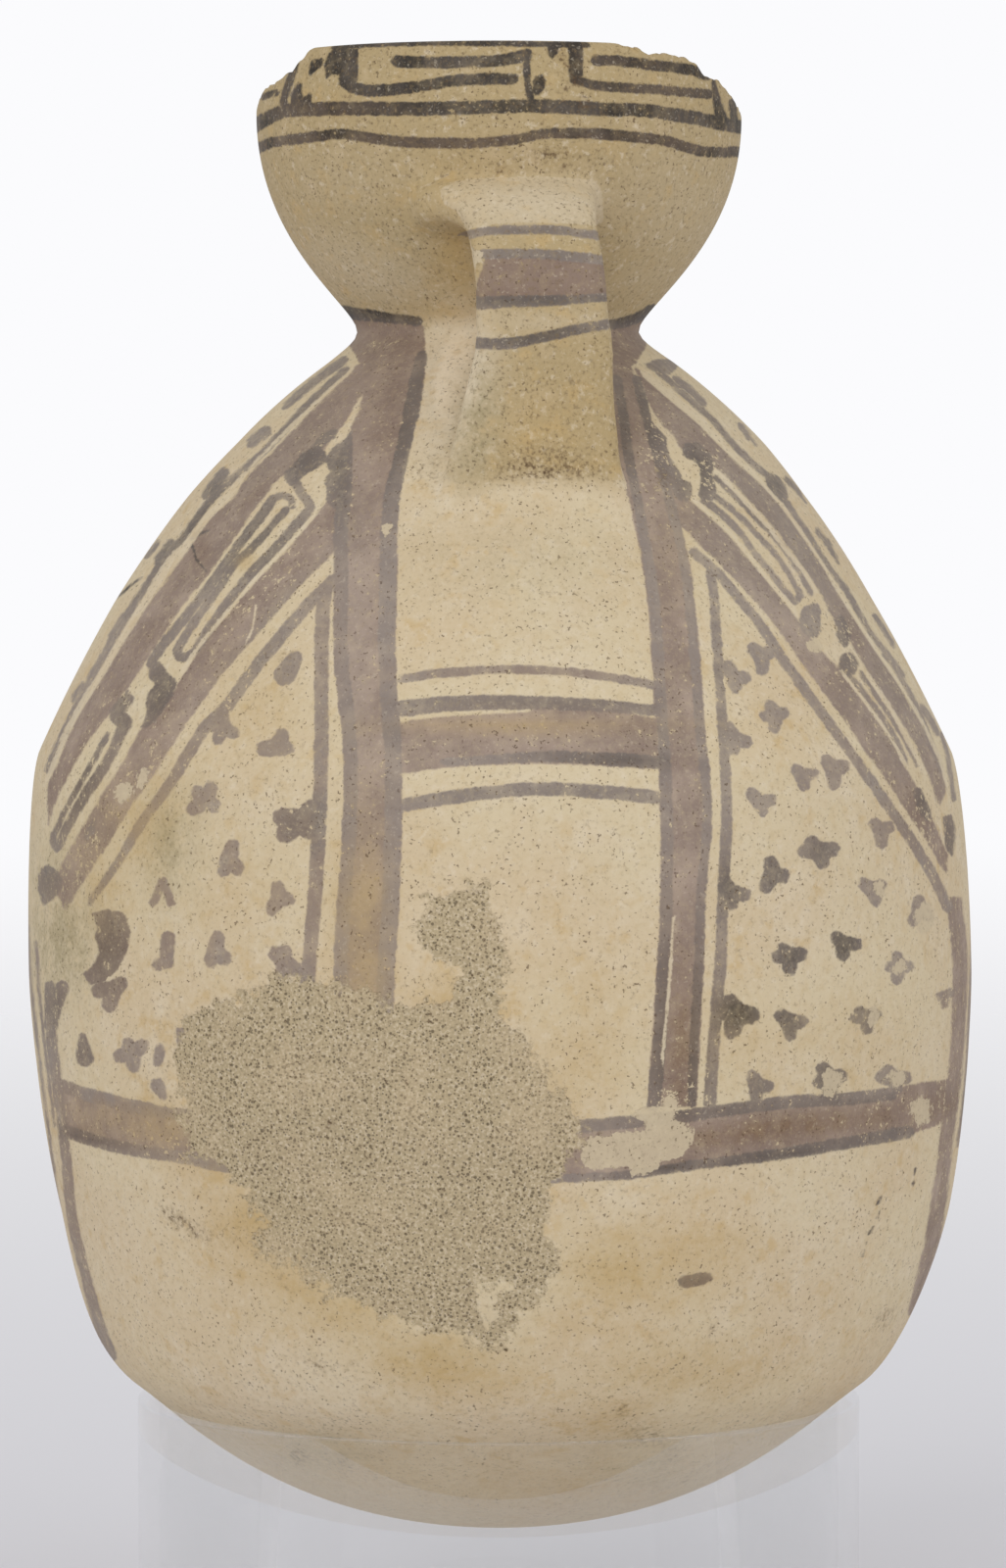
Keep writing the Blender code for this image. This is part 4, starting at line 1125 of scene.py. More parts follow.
def soften_seam(points, faces, outside_gap):
    """Rounds the crease between the strap and the body, so that one flows into the other."""
    edges = edges_of(faces)
    on_strap = outside_gap > SEAM_GAP
    crossing = edges[on_strap[edges[:, 0]] != on_strap[edges[:, 1]]]
    seam = np.unique(crossing[~on_strap[crossing]])
    gap = distance_to(points, points[seam], SEAM_REACH)
    width = np.interp(points[:, 2] - LIFT, SEAM_CHANGE, SEAM_WIDTHS)
    weight = np.exp(-((gap / width) ** 2))
    weight[weight < SEAM_LEAST_WEIGHT] = 0.0
    used = edges[(weight[edges] > 0.0).any(axis=1)]
    ends = np.concatenate((used, used[:, ::-1]))
    moving = np.flatnonzero(weight > 0.0)
    index = np.full(len(points), -1)
    index[moving] = np.arange(len(moving))
    ends = ends[index[ends[:, 0]] >= 0]
    rank = index[ends[:, 0]]
    count = np.bincount(rank, minlength=len(moving))[:, None]
    for _ in range(SEAM_ROUNDS):
        neighbours = points[ends[:, 1]]
        total = np.stack([np.bincount(rank, neighbours[:, k], len(moving)) for k in range(3)], axis=1)
        points[moving] += (total / count - points[moving]) * (SEAM_PULL * weight[moving])[:, None]
    return points


def wander_at(height):
    """How far the body's middle lies to the side at a height."""
    return np.interp(height, *np.transpose(WANDER))


def pixels_of(points):
    """Where places in metres stand in the picture, in pixels across and down."""
    pitch = math.radians(CAMERA_PITCH)
    focal = CAMERA_LENS / SENSOR * PICTURE[1]
    side = points[..., 0] - CAMERA_SIDE
    away = points[..., 1] + CAMERA_DISTANCE
    rise = points[..., 2] - LIFT - CAMERA_ABOVE_JAR_FOOT
    depth = away * math.cos(pitch) - rise * math.sin(pitch)
    up = rise * math.cos(pitch) + away * math.sin(pitch)
    return np.stack((PICTURE[0] / 2 + focal * side / depth, PICTURE[1] / 2 - focal * up / depth), axis=-1)


def front_twin(turn, radius):
    """The turn in front whose paint a turn repeats: itself in front, mirrored and stretched behind."""
    limb = np.arccos(np.clip(radius / CAMERA_DISTANCE, 0.0, 1.0))
    size = np.abs(turn)
    behind = (math.pi - size) * limb / (math.pi - limb)
    return np.copysign(np.where(size <= limb, size, behind), turn)


def smooth_run(points):
    """A curve through the points, each (across, down, width), with close steps."""
    points = np.asarray(points, float)
    if len(points) == 2:
        steps = max(2, round(np.linalg.norm(points[1, :2] - points[0, :2]) / RUN_STEP) + 1)
        return points[0] + (points[1] - points[0]) * np.linspace(0.0, 1.0, steps)[:, None]
    padded = np.concatenate((points[:1] * 2 - points[1:2], points, points[-1:] * 2 - points[-2:-1]))
    made = []
    for before, start, end, after in zip(padded, padded[1:], padded[2:], padded[3:]):
        gap = np.linalg.norm(end[:2] - start[:2])
        lead = max(np.linalg.norm(start[:2] - before[:2]), 1.0)
        trail = max(np.linalg.norm(after[:2] - end[:2]), 1.0)
        leave = (end - before) * gap / (gap + lead)
        arrive = (after - start) * gap / (gap + trail)
        steps = max(2, round(gap / RUN_STEP) + 1)
        made.append(bezier(start, start + leave / 3, end - arrive / 3, end, steps)[:-1])
    made.append(points[-1:])
    return np.concatenate(made)


def with_widths(width, points):
    """The points of a run, each with the stroke's width there."""
    points = np.asarray(points, float)
    low, high = width if isinstance(width, tuple) else (width, width)
    at = lengths_along(points)
    return np.column_stack((points, low + (high - low) * at / at[-1]))


def split_at_turns(run):
    """Pieces of a run that each turn less than a sharp turn, so that no piece runs beside itself."""
    ways = np.diff(run[:, :2], axis=0)
    heading = np.unwrap(np.arctan2(ways[:, 1], ways[:, 0]))
    pieces = []
    start = 0
    for n in range(1, len(heading)):
        if abs(heading[n] - heading[start]) > math.radians(SHARP_TURN):
            pieces.append(run[start : n + 1])
            start = n
    pieces.append(run[start:])
    return pieces


def beside_run(run, at):
    """Side distance from a run's middle, its half width there, and which places lie past its ends."""
    a, b = run[:-1, :2], run[1:, :2]
    way = b - a
    rel = at[:, None, :] - a[None]
    share = (rel * way).sum(axis=2) / np.maximum((way**2).sum(axis=1), TINY)
    held = np.clip(share, 0.0, 1.0)
    off = rel - held[..., None] * way
    distance = np.sqrt((off**2).sum(axis=2))
    best = distance.argmin(axis=1)
    rows = np.arange(len(at))
    cross = way[best, 0] * rel[rows, best, 1] - way[best, 1] * rel[rows, best, 0]
    widths = run[best, 2] + (run[best + 1, 2] - run[best, 2]) * held[rows, best]
    past = ((best == 0) & (share[rows, best] < 0.0)) | ((best == len(a) - 1) & (share[rows, best] > 1.0))
    return np.copysign(distance[rows, best], cross), widths / 2.0, past


def inside_field(corners, at):
    """Distance to a closed outline, below zero inside it."""
    corners = np.asarray(corners, float)
    a, b = corners, np.roll(corners, -1, axis=0)
    way = b - a
    rel = at[:, None, :] - a[None]
    held = np.clip((rel * way).sum(axis=2) / np.maximum((way**2).sum(axis=1), TINY), 0.0, 1.0)
    distance = np.sqrt(((rel - held[..., None] * way) ** 2).sum(axis=2)).min(axis=1)
    above = a[None, :, 1] > at[:, None, 1]
    crosses = above != (b[None, :, 1] > at[:, None, 1])
    rise = np.where(np.abs(way[:, 1]) < TINY, TINY, way[:, 1])
    reach = a[:, 0] + (at[:, None, 1] - a[None, :, 1]) * way[:, 0] / rise
    inside = (crosses & (at[:, None, 0] < reach)).sum(axis=1) % 2 == 1
    return np.where(inside, -distance, distance)


class PaintLayer:
    """The few strokes nearest to each triangle: side distance from each one's middle, and half width."""

    def __init__(self, faces, pixels):
        self.faces = faces
        self.pixels = pixels
        self.allowed = np.ones(len(faces), dtype=bool)
        self.closest = np.full((len(faces), SLOTS), np.inf)
        self.side = np.full((len(faces), 3, SLOTS), FAR)
        self.half = np.zeros((len(faces), 3, SLOTS))

    def keep(self, picked, side, half):
        """Keeps a stroke for the picked triangles where it is nearer than the farthest one kept."""
        gap = (np.abs(side) - half).min(axis=1)
        close = gap < NEAR
        picked, side, half, gap = picked[close], side[close], half[close], gap[close]
        worst = self.closest[picked].argmax(axis=1)
        better = gap < self.closest[picked, worst]
        picked, worst = picked[better], worst[better]
        self.closest[picked, worst] = gap[better]
        self.side[picked, :, worst] = side[better]
        self.half[picked, :, worst] = half[better]

    def near(self, low, high):
        """The allowed triangles near a box of pixels, their points, and each corner's place among these."""
        inside = ((self.pixels > low - NEAR) & (self.pixels < high + NEAR)).all(axis=1)
        picked = np.flatnonzero(inside[self.faces].any(axis=1) & self.allowed)
        used, where = np.unique(self.faces[picked], return_inverse=True)
        return picked, used, where.reshape(-1, 3)

    def run(self, width, points):
        """A brush stroke along the points."""
        for piece in split_at_turns(smooth_run(with_widths(width, points))):
            reach = piece[:, 2].max() / 2.0
            low, high = piece[:, :2].min(axis=0) - reach, piece[:, :2].max(axis=0) + reach
            picked, used, where = self.near(low, high)
            if not len(picked):
                continue
            side, half, past = beside_run(piece, self.pixels[used])
            side, half = side[where], half[where]
            ends = past[where].any(axis=1)[:, None]
            solid = np.abs(side) - half + FAR
            self.keep(picked, np.where(ends, solid, side), np.where(ends, FAR, half))

    def field(self, corners):
        """A filled outline."""
        corners = np.asarray(corners, float)
        picked, used, where = self.near(corners.min(axis=0), corners.max(axis=0))
        if len(picked):
            gap = np.maximum(inside_field(corners, self.pixels[used]), 1.0 - FAR)[where]
            self.keep(picked, gap + FAR, np.full(gap.shape, FAR))

    def belt(self, one_side, other_side):
        """A field between two curves."""
        first = smooth_run(with_widths(1.0, one_side))[:, :2]
        second = smooth_run(with_widths(1.0, other_side))[:, :2]
        self.field(np.concatenate((first, second[::-1])))

    def flower(self, across, down, size, turn, lobes):
        """A flower mark: short strokes from one middle."""
        reach = size * LOBE_LENGTH
        widths = tuple(size * share for share in LOBE_WIDTHS)
        for n, lobe in enumerate(LOBE_TURNS[lobes]):
            uneven = LOBE_UNEVEN[(n + across + down) % len(LOBE_UNEVEN)]
            angle = math.radians(turn + lobe + LOBE_SWING * (uneven - 1.0))
            tip = (across + reach * uneven * math.cos(angle), down + reach * uneven * math.sin(angle))
            self.run(widths, ((across, down), tip))

    def draw(self, allowed, runs=(), fields=(), flowers=(), belts=()):
        """Draws these marks on the allowed triangles."""
        self.allowed = allowed
        for width, points in runs:
            self.run(width, points)
        for corners in fields:
            self.field(corners)
        for flower in flowers:
            self.flower(*flower)
        for one_side, other_side in belts:
            self.belt(one_side, other_side)

    def store(self, mesh, name):
        """Stores the layer on the mesh's face corners."""
        for suffix, values in (("side", self.side), ("half", self.half)):
            made = mesh.attributes.new(f"{name}_{suffix}", "FLOAT_VECTOR", "CORNER")
            made.data.foreach_set("vector", values.astype(np.float32).ravel())


def blots(pixels, places):
    """How strongly soft round stains cover each place, from 0 up."""
    total = np.zeros(len(pixels))
    for across, down, wide, tall, turn, strength in places:
        angle = math.radians(turn)
        rel = pixels - (across, down)
        along = (rel[:, 0] * math.cos(angle) + rel[:, 1] * math.sin(angle)) / wide
        over = (rel[:, 1] * math.cos(angle) - rel[:, 0] * math.sin(angle)) / tall
        total = np.maximum(total, strength * np.exp(-(along**2 + over**2) * STAIN_FALL))
    return total


def store_value(mesh, name, values):
    """Stores one number for each point of the mesh."""
    made = mesh.attributes.new(name, "FLOAT", "POINT")
    made.data.foreach_set("value", np.asarray(values, np.float32))


def draw_marks(mesh, faces, pixels, on_strap, inside, behind):
    """Draws the painted marks and stores them on the mesh."""
    strap = on_strap[faces].all(axis=1)
    body = ~strap & ~inside[faces].any(axis=1)
    front = body & (behind[faces] < 0.5).all(axis=1)
    ink, wash, pale, moss, flake = (PaintLayer(faces, pixels) for _ in range(5))
    ink.draw(body, runs=INK_RUNS, fields=INK_FIELDS, flowers=FLOWERS)
    ink.draw(front, runs=STRAY_RUNS)
    ink.draw(strap, runs=STRAP_INK_RUNS)
    wash.draw(body, belts=WASH_BELTS)
    wash.draw(strap, belts=STRAP_WASH_BELTS)
    pale.draw(body, runs=PALE_RUNS)
    # The pale field on the strap's root is partly paler slip and partly a painted highlight
    pale.draw(front | strap, fields=(ROOT_PALE_AND_LIT,))
    moss.draw(front, fields=OLIVE_FIELDS)
    flake.draw(front, fields=PALE_FIELDS)
    flake.draw(strap, fields=STRAP_PALE_FIELDS)
    for layer, name in ((ink, "ink"), (wash, "wash"), (pale, "pale"), (moss, "moss"), (flake, "flake")):
        layer.store(mesh, name)


def worn_depth(pixels, on_outside, front):
    """How many pixels inside the worn place each point lies, below zero outside it."""
    worn = np.clip(-inside_field(WORN_OUTLINE, pixels), -FAR, FAR)
    worn = np.minimum(worn, inside_field(WORN_FLAKE, pixels))
    worn = np.where(on_outside, worn, -FAR)
    return worn * front - FAR * (1.0 - front)


def darker_face(turn, radius, height, gap):
    """Where the strap has its darker outer face."""
    side = radius * np.sin(turn - math.radians(HANDLE_TURN))
    edge = np.interp(height, *np.transpose(STRAP_FACE_EDGE))
    return ramp(gap, STRAP_FACE_GAP, STRAP_FACE_GAP_FADE) * ramp(side + edge, 0.0, STRAP_FACE_SIDE_FADE)


def broken_edge(turn, height, gap):
    """Where the wall is bare along the broken rim."""
    drop, broken = break_drop(turn)
    near_top = ramp(height - (LIP[1] - drop) + BROKEN_DEPTH, 0.0, BROKEN_DEPTH_FADE)
    return near_top * ramp(-gap, WALL_GAP, WALL_GAP_FADE) * broken


def paint_jar(mesh, places, faces, form):
    """Stores each mark, stain and tone on the mesh, and returns the depth in the worn place."""
    turn, radius, height = places
    outer = form.radius(height)
    gap = radius - outer
    on_strap = gap > STRAP_GAP
    inside = gap < HOLLOW_GAP
    twin = around(front_twin(turn, outer), outer, height)
    own = around(turn, radius, height)
    for spots in (twin, own):
        spots[:, 0] += wander_at(height)
    pixels = np.where(on_strap[:, None], pixels_of(own), pixels_of(twin))
    behind = ramp(np.abs(turn), math.radians(FRONT_END), math.radians(FRONT_FADE))
    draw_marks(mesh, faces, pixels, on_strap, inside, behind)
    front = (1.0 - behind) * ~inside
    worn = worn_depth(pixels, ~on_strap & ~inside, front)
    mouth = ramp(height - NECK[1] + MOUTH_CHANGE / 2.0, 0.0, MOUTH_CHANGE) * ~inside
    tones = {
        "worn": worn,
        # Stains, and painted shade on the bowl left of the handle
        "ochre": blots(pixels, OCHRE_AND_SHADE_STAINS) * front,
        "olive": blots(pixels, OLIVE_STAINS) * front,
        # Soil, and painted shade in the crease under the strap's foot
        "dirt": blots(pixels, DIRT_AND_SHADE_STAINS) * front,
        # Paler slip, which is also painted light behind the handle and on the strap's root
        "clean": blots(pixels, CLEAN_AND_LIT_PLACES) * front,
        "deep": np.maximum(blots(pixels, DEEP_PLACES), mouth * ~on_strap),
        "rust": blots(pixels, RUST_PLACES),
        "grey": blots(pixels, GREY_PLACES),
        "loss": np.maximum(blots(pixels, LOSS_PLACES) * front, BACK_LOSS * (1.0 - front)),
        "mouth": np.maximum(mouth, darker_face(turn, radius, height, gap)),
        "hollow": inside.astype(float),
        "broken": broken_edge(turn, height, gap),
    }
    for name, values in tones.items():
        store_value(mesh, name, values)
    return worn


def cylinder_places(points):
    """Turn towards +X, radius and height over the lowest point."""
    turn = np.arctan2(points[:, 0], -points[:, 1])
    return turn, np.hypot(points[:, 0], points[:, 1]), points[:, 2] - LIFT


def hand_made(points, places, worn, unevenness):
    """The points with the wall's swells, the sunk worn place and the wander of the body's middle."""
    turn, radius, height = places
    swell = waves(turn, height, *SWELL_WAVES) * unevenness * ramp(height, WANDER[0][0], SWELL_FADE)
    swell -= np.clip(worn / WORN_EDGE + 0.5, 0.0, 1.0) * WORN_DEPTH
    scale = 1.0 + swell / np.maximum(radius, LEAST_RADIUS)
    moved = points.copy()
    moved[:, :2] *= scale[:, None]
    moved[:, 0] += wander_at(height)
    return moved


class Value:
    """A shader socket that adds Math nodes when Python's operators are used on it."""

    def __init__(self, surface, socket):
        self.surface = surface
        self.socket = socket

    def maths(self, operation, *terms):
        """The result of one Math node."""
        made = self.surface.node("ShaderNodeMath", {"operation": operation}, dict(enumerate(terms)))
        return Value(self.surface, made.outputs[0])

    def __add__(self, other):
        return self.maths("ADD", self, other)

    def __radd__(self, other):
        return self.maths("ADD", other, self)

    def __sub__(self, other):
        return self.maths("SUBTRACT", self, other)

    def __rsub__(self, other):
        return self.maths("SUBTRACT", other, self)

    def __mul__(self, other):
        return self.maths("MULTIPLY", self, other)

    def __rmul__(self, other):
        return self.maths("MULTIPLY", other, self)

    def __truediv__(self, other):
        return self.maths("DIVIDE", self, other)

    def __abs__(self):
        return self.maths("ABSOLUTE", self)

    def least(self, other):
        """The smaller of the two."""
        return self.maths("MINIMUM", self, other)

    def most(self, other):
        """The larger of the two."""
        return self.maths("MAXIMUM", self, other)

    def rising(self, low, high):
        """0 at low, 1 at high, smooth between."""
        sockets = {"Value": self, "From Min": low, "From Max": high, "To Min": 0.0, "To Max": 1.0}
        made = self.surface.node("ShaderNodeMapRange", {"interpolation_type": "SMOOTHSTEP"}, sockets)
        return Value(self.surface, made.outputs["Result"])


class Surface:
    """A material whose nodes are written as expressions."""

    def __init__(self, name):
        self.material = bpy.data.materials.new(name)
        self.material.use_nodes = True
        self.tree = self.material.node_tree
        self.shader = self.tree.nodes["Principled BSDF"]
        self.place = None

    def node(self, kind, settings, sockets):
        """A node of this kind with its settings made and its sockets fed."""
        made = self.tree.nodes.new(kind)
        for key, value in settings.items():
            setattr(made, key, value)
        for key, value in sockets.items():
            self.feed(made.inputs[key], value)
        return made

    def feed(self, socket, value):
        """Gives a socket a number, a colour or another socket's value."""
        if isinstance(value, Value):
            self.tree.links.new(value.socket, socket)
        elif hasattr(value, "__len__"):
            socket.default_value = (*value, 1.0) if len(socket.default_value) == 4 else tuple(value)
        else:
            socket.default_value = value

    def output(self, kind, settings, sockets, name):
        """One output of a new node."""
        return Value(self, self.node(kind, settings, sockets).outputs[name])

    def spot(self):
        """The place on the object, from one node."""
        if self.place is None:
            self.place = self.output("ShaderNodeTexCoord", {}, {}, "Object")
        return self.place

    def attribute(self, name):
        """A number stored on the mesh."""
        return self.output("ShaderNodeAttribute", {"attribute_name": name}, {}, "Fac")

    def parts(self, name):
        """The three numbers of a vector attribute."""
        vector = self.output("ShaderNodeAttribute", {"attribute_name": name}, {}, "Vector")
        made = self.node("ShaderNodeSeparateXYZ", {}, {"Vector": vector})
        return [Value(self, made.outputs[n]) for n in range(3)]

    def grain(self, size, detail=2.0, rough=0.5):
        """Noise between 0 and 1 whose lumps have this size in metres."""
        sockets = {"Vector": self.spot(), "Scale": 1.0 / size, "Detail": detail, "Roughness": rough}
        return self.output("ShaderNodeTexNoise", {}, sockets, "Fac")

    def specks(self, size):
        """Distance to scattered grains that lie about this far apart in metres, 0 at a grain's middle."""
        sockets = {"Vector": self.spot(), "Scale": 1.0 / size}
        return self.output("ShaderNodeTexVoronoi", {}, sockets, "Distance")

    def blend(self, share, first, second):
        """First where share is 0, second where it is 1, as colours."""
        made = self.node("ShaderNodeMix", {"data_type": "RGBA"}, {0: share, 6: first, 7: second})
        return Value(self, made.outputs[2])

    def paint_gap(self, name):
        """Distance in pixels to the nearest stroke's edge, below zero inside."""
        sides, halves = self.parts(f"{name}_side"), self.parts(f"{name}_half")
        gaps = [abs(side) - half for side, half in zip(sides, halves)]
        return gaps[0].least(gaps[1]).least(gaps[2])

    def bump(self, height, depth):
        """The surface's direction where it is raised by a height times a depth in metres."""
        sockets = {"Strength": 1.0, "Distance": depth, "Height": height}
        return self.output("ShaderNodeBump", {}, sockets, "Normal")


class ClaySurface(Surface):
    """Cream slip painted black and purple-brown, worn, stained and bare in places, with painted shade and
    painted light near the handle and painted shade in the hollow.
    """

    def __init__(self, colours):
        super().__init__("painted_clay_finish")
        self.colours = colours
        self.broad, self.cloud = self.grain(BROAD_GRAIN, 3.0), self.grain(CLOUD_GRAIN, 4.0, 0.6)
        self.patch, self.fine = self.grain(PATCH_GRAIN, 3.0, 0.6), self.grain(FINE_GRAIN, 3.0, 0.65)
        self.sand, self.dust = self.grain(SAND_GRAIN, 2.0, 0.6), self.grain(DUST_GRAIN, 1.0)
        self.ragged = (self.patch - 0.5) * 6.0 + (self.fine - 0.5) * 7.0 + (self.sand - 0.5) * 6.0
        self.mouth, self.ochre = self.attribute("mouth"), self.attribute("ochre")
        self.deep, self.rust = self.attribute("deep").least(1.0), self.attribute("rust").least(1.0)

    def slip(self):
        """The slip's colour with its mottling and stains."""
        colours = self.colours
        broad, cloud, patch, fine, sand = self.broad, self.cloud, self.patch, self.fine, self.sand
        clean = self.attribute("clean")
        slip = self.blend(broad.rising(0.38, 0.66) * 0.7, colours.slip, colours.slip_warm)
        slip = self.blend(cloud.rising(0.50, 0.72) * 0.5, slip, colours.slip_pale)
        slip = self.blend(self.mouth * 0.94, slip, colours.bowl_slip)
        # Inside the hollow the slip is made darker: painted shade, with some grime
        slip = self.blend(self.attribute("hollow") * 0.6, slip, colours.bowl_slip)
        # Paler slip; behind the handle and on the strap's root the pale and brightest slip is painted light
        slip = self.blend(clean.least(1.25) * 0.75, slip, colours.slip_pale)
        slip = self.blend(((clean - 1.0) * 2.5).most(0.0).least(0.8), slip, colours.slip_bright_and_lit)
        slip = self.blend(patch.rising(0.50, 0.75) * 0.35, slip, colours.slip_warm)
        mottle = patch.rising(0.48, 0.28) * (0.16 + 0.34 * broad.rising(0.40, 0.60))
        slip = self.blend(mottle, slip, colours.ochre)
        slip = self.blend(fine.rising(0.50, 0.72) * 0.40, slip, colours.slip_shade)
        slip = self.blend(fine.rising(0.46, 0.28) * 0.50, slip, colours.slip_pale)
        # Ochre stains, and painted shade left of the handle in their colour
        stain = self.ochre * (0.30 + 0.70 * cloud.rising(0.34, 0.62)) * (0.7 + 0.3 * fine.rising(0.4, 0.6))
        slip = self.blend((stain + cloud.rising(0.62, 0.80) * 0.12).least(0.85), slip, colours.ochre)
        olive = 0.2 + patch.rising(0.34, 0.60) * 0.6 + sand.rising(0.46, 0.58) * 0.3
        return self.blend((self.attribute("olive") * olive).least(0.85), slip, colours.olive)

    def cover(self):
        """How much of the slip the paints hide where they lie."""
        patch, fine, sand = self.patch, self.fine, self.sand
        thin = patch.rising(0.45, 0.75) * 0.14 + fine.rising(0.45, 0.75) * 0.20
        thin = thin + sand.rising(0.52, 0.68) * 0.16
        holes = sand + self.attribute("loss") * 0.13 + (fine - 0.5) * 0.55 + (patch - 0.5) * 0.3
        return 1.0 - (thin + holes.rising(0.70, 0.77) * 0.8).least(1.0)

    def wash_colour(self):
        """The purple-brown paint's colour."""
        colours, deep = self.colours, self.deep
        wash = self.blend(self.cloud.rising(0.35, 0.68), colours.wash, colours.wash_thin)
        wash = self.blend(self.attribute("grey").least(1.0) * 0.85, wash, colours.wash_grey)
        wash = self.blend(deep * 0.75, wash, colours.wash_deep)
        wash = self.blend(self.mouth * 0.60, wash, colours.wash_deep)
        rusty = self.rust * (0.30 + 0.70 * deep) * (0.30 + 0.70 * self.patch.rising(0.40, 0.58))
        return self.blend(rusty, wash, colours.wash_rust)

    def ink_colour(self):
        """The black paint's colour."""
        colours, cloud, deep, rust = self.colours, self.cloud, self.deep, self.rust
        ink = self.blend(self.patch.rising(0.38, 0.70) * 0.6, colours.ink, colours.ink_thin)
        ink = self.blend(deep * (1.0 - 0.25 * cloud.rising(0.4, 0.7)), ink, colours.ink_deep)
        ink = self.blend(rust * 0.75 * cloud.rising(0.30, 0.52), ink, colours.ink_brown)
        return self.blend(rust * deep * 0.6, ink, colours.ink_deep)

    def painted(self, slip, ink, flake):
        """The slip with both paints, their stains and their bare places."""
        colours, ragged = self.colours, self.ragged
        cover = self.cover()
        wash = (self.paint_gap("wash") + ragged * 0.6).rising(1.5, -1.5)
        paint = self.blend(wash * cover, slip, self.wash_colour())
        paint = self.blend(ink * cover * 0.97, paint, self.ink_colour())
        # Ochre stains and the painted shade left of the handle also tarnish the paint
        tarnish = self.blend(0.30, colours.ochre, colours.olive)
        tarnished = self.ochre.least(1.0) * (0.34 + 0.44 * self.cloud.rising(0.35, 0.65))
        paint = self.blend(tarnished, paint, tarnish)
        moss = (self.paint_gap("moss") + ragged * 1.2).rising(1.5, -1.5)
        paint = self.blend(moss * 0.7, paint, colours.olive)
        # Pale lines and flakes, and the pale field on the strap's root, which is partly a painted highlight
        pale = (self.paint_gap("pale") + ragged * 0.5).rising(1.0, -1.0)
        paint = self.blend(pale * 0.85, paint, self.blend(0.35, slip, colours.slip_pale))
        return self.blend(flake * 0.88, paint, self.blend(self.fine, colours.flake, colours.slip))

    def bare_clay(self):
        """The clay's colour with its grains."""
        colours, dust = self.colours, self.dust
        clay = self.blend(dust.rising(0.48, 0.64) * 0.26, colours.clay, colours.grit)
        clay = self.blend(dust.rising(0.44, 0.36) * 0.42, clay, colours.slip_pale)
        clay = self.blend(self.sand.rising(0.56, 0.68) * 0.14, clay, colours.grit)
        grains = self.specks(SPECK_GRAIN).least(self.specks(BIG_SPECK_GRAIN) * 1.25 + (self.fine - 0.5) * 0.2)
        clay = self.blend(grains.rising(0.34, 0.20) * 0.76, clay, colours.grit_dark)
        return self.blend(self.cloud.rising(0.42, 0.70) * 0.30, clay, colours.slip_warm)

    def soiled_and_shaded(self, paint, pores):
        """The finished colour with its soil, the painted shade under the strap's foot, pores and dark and
        pale specks.
        """
        colours, mouth, fine, sand = self.colours, self.mouth, self.fine, self.sand
        # Soil, and the painted shade in the crease under the strap's foot
        soil = 0.40 + 0.45 * fine.rising(0.40, 0.62) + 0.65 * sand.rising(0.46, 0.62)
        soil = (self.attribute("dirt") * soil).rising(0.05, 1.25)
        paint = self.blend(soil * 0.9, paint, colours.dirt)
        paint = self.blend(pores * 0.62, paint, colours.dirt)
        speckle = sand.rising(0.54, 0.70) * (0.12 + 0.16 * mouth + 0.10 * self.cloud.rising(0.45, 0.65))
        paint = self.blend(speckle, paint, colours.dirt)
        return self.blend(sand.rising(0.40, 0.28) * (0.18 + 0.08 * mouth), paint, colours.slip_pale)

    def finish(self):
        """Feeds the shader and gives the material."""
        colours, cloud, patch, fine, sand = self.colours, self.cloud, self.patch, self.fine, self.sand
        ink = (self.paint_gap("ink") + self.ragged * 0.5).rising(1.3, -1.3)
        flake = self.paint_gap("flake") + self.ragged * 1.3 + (patch - 0.5) * 12.0
        flake = flake.rising(1.0, -1.0)
        paint = self.painted(self.slip(), ink, flake)
        worn = self.attribute("worn") + self.ragged * 1.6 + (patch - 0.5) * 46.0 + (fine - 0.5) * 28.0
        bare = worn.rising(-5.0, 5.0)
        paint = self.blend(bare * 0.97, paint, self.bare_clay())
        broken = self.attribute("broken")
        edge = self.blend(fine, colours.broken, colours.slip_warm)
        paint = self.blend(broken.rising(0.35, 0.65), paint, edge)
        pores = (self.dust + (sand - 0.5) * 0.3).rising(0.665, 0.725)
        pores = pores * (0.30 + 0.70 * patch.rising(0.40, 0.62))
        self.feed(self.shader.inputs["Base Color"], self.soiled_and_shaded(paint, pores))
        self.feed(self.shader.inputs["Roughness"], 0.62 + 0.14 * patch + 0.22 * bare - 0.06 * ink)
        self.feed(self.shader.inputs["Specular IOR Level"], 0.35)
        ground = cloud * 0.9 + patch * 0.5 + fine * 0.25
        ground = ground + sand * (0.12 + 0.5 * bare + 0.5 * broken) - bare * 0.9 - flake * 0.25 - pores * 0.35
        self.feed(self.shader.inputs["Normal"], self.bump(ground, RELIEF))
        return self.material


def ring_surface(finish):
    """Clear acrylic."""
    s = Surface("clear_acrylic_finish")
    s.feed(s.shader.inputs["Base Color"], finish.colour)
    s.feed(s.shader.inputs["Roughness"], finish.roughness)
    s.feed(s.shader.inputs["IOR"], finish.refraction)
    s.feed(s.shader.inputs["Transmission Weight"], 1.0)
    s.feed(s.shader.inputs["Alpha"], finish.density)
    return s.material


def floor_surface(settings):
    """Pale matt floor that fades out towards its edge."""
    s = Surface("studio_floor")
    s.feed(s.shader.inputs["Base Color"], settings.floor_colour)
    s.feed(s.shader.inputs["Roughness"], 0.9)
    s.feed(s.shader.inputs["Specular IOR Level"], 0.1)
    reach = s.output("ShaderNodeVectorMath", {"operation": "LENGTH"}, {0: s.spot()}, "Value")
    inside = (1.0 - reach / settings.floor_radius).most(0.0)
    fade = 1.0 - inside * inside
    clear = s.node("ShaderNodeBsdfTransparent", {}, {})
    mix = s.node("ShaderNodeMixShader", {}, {0: fade})
    s.tree.links.new(s.shader.outputs[0], mix.inputs[1])
    s.tree.links.new(clear.outputs[0], mix.inputs[2])
    s.tree.links.new(mix.outputs[0], s.tree.nodes["Material Output"].inputs["Surface"])
    return s.material


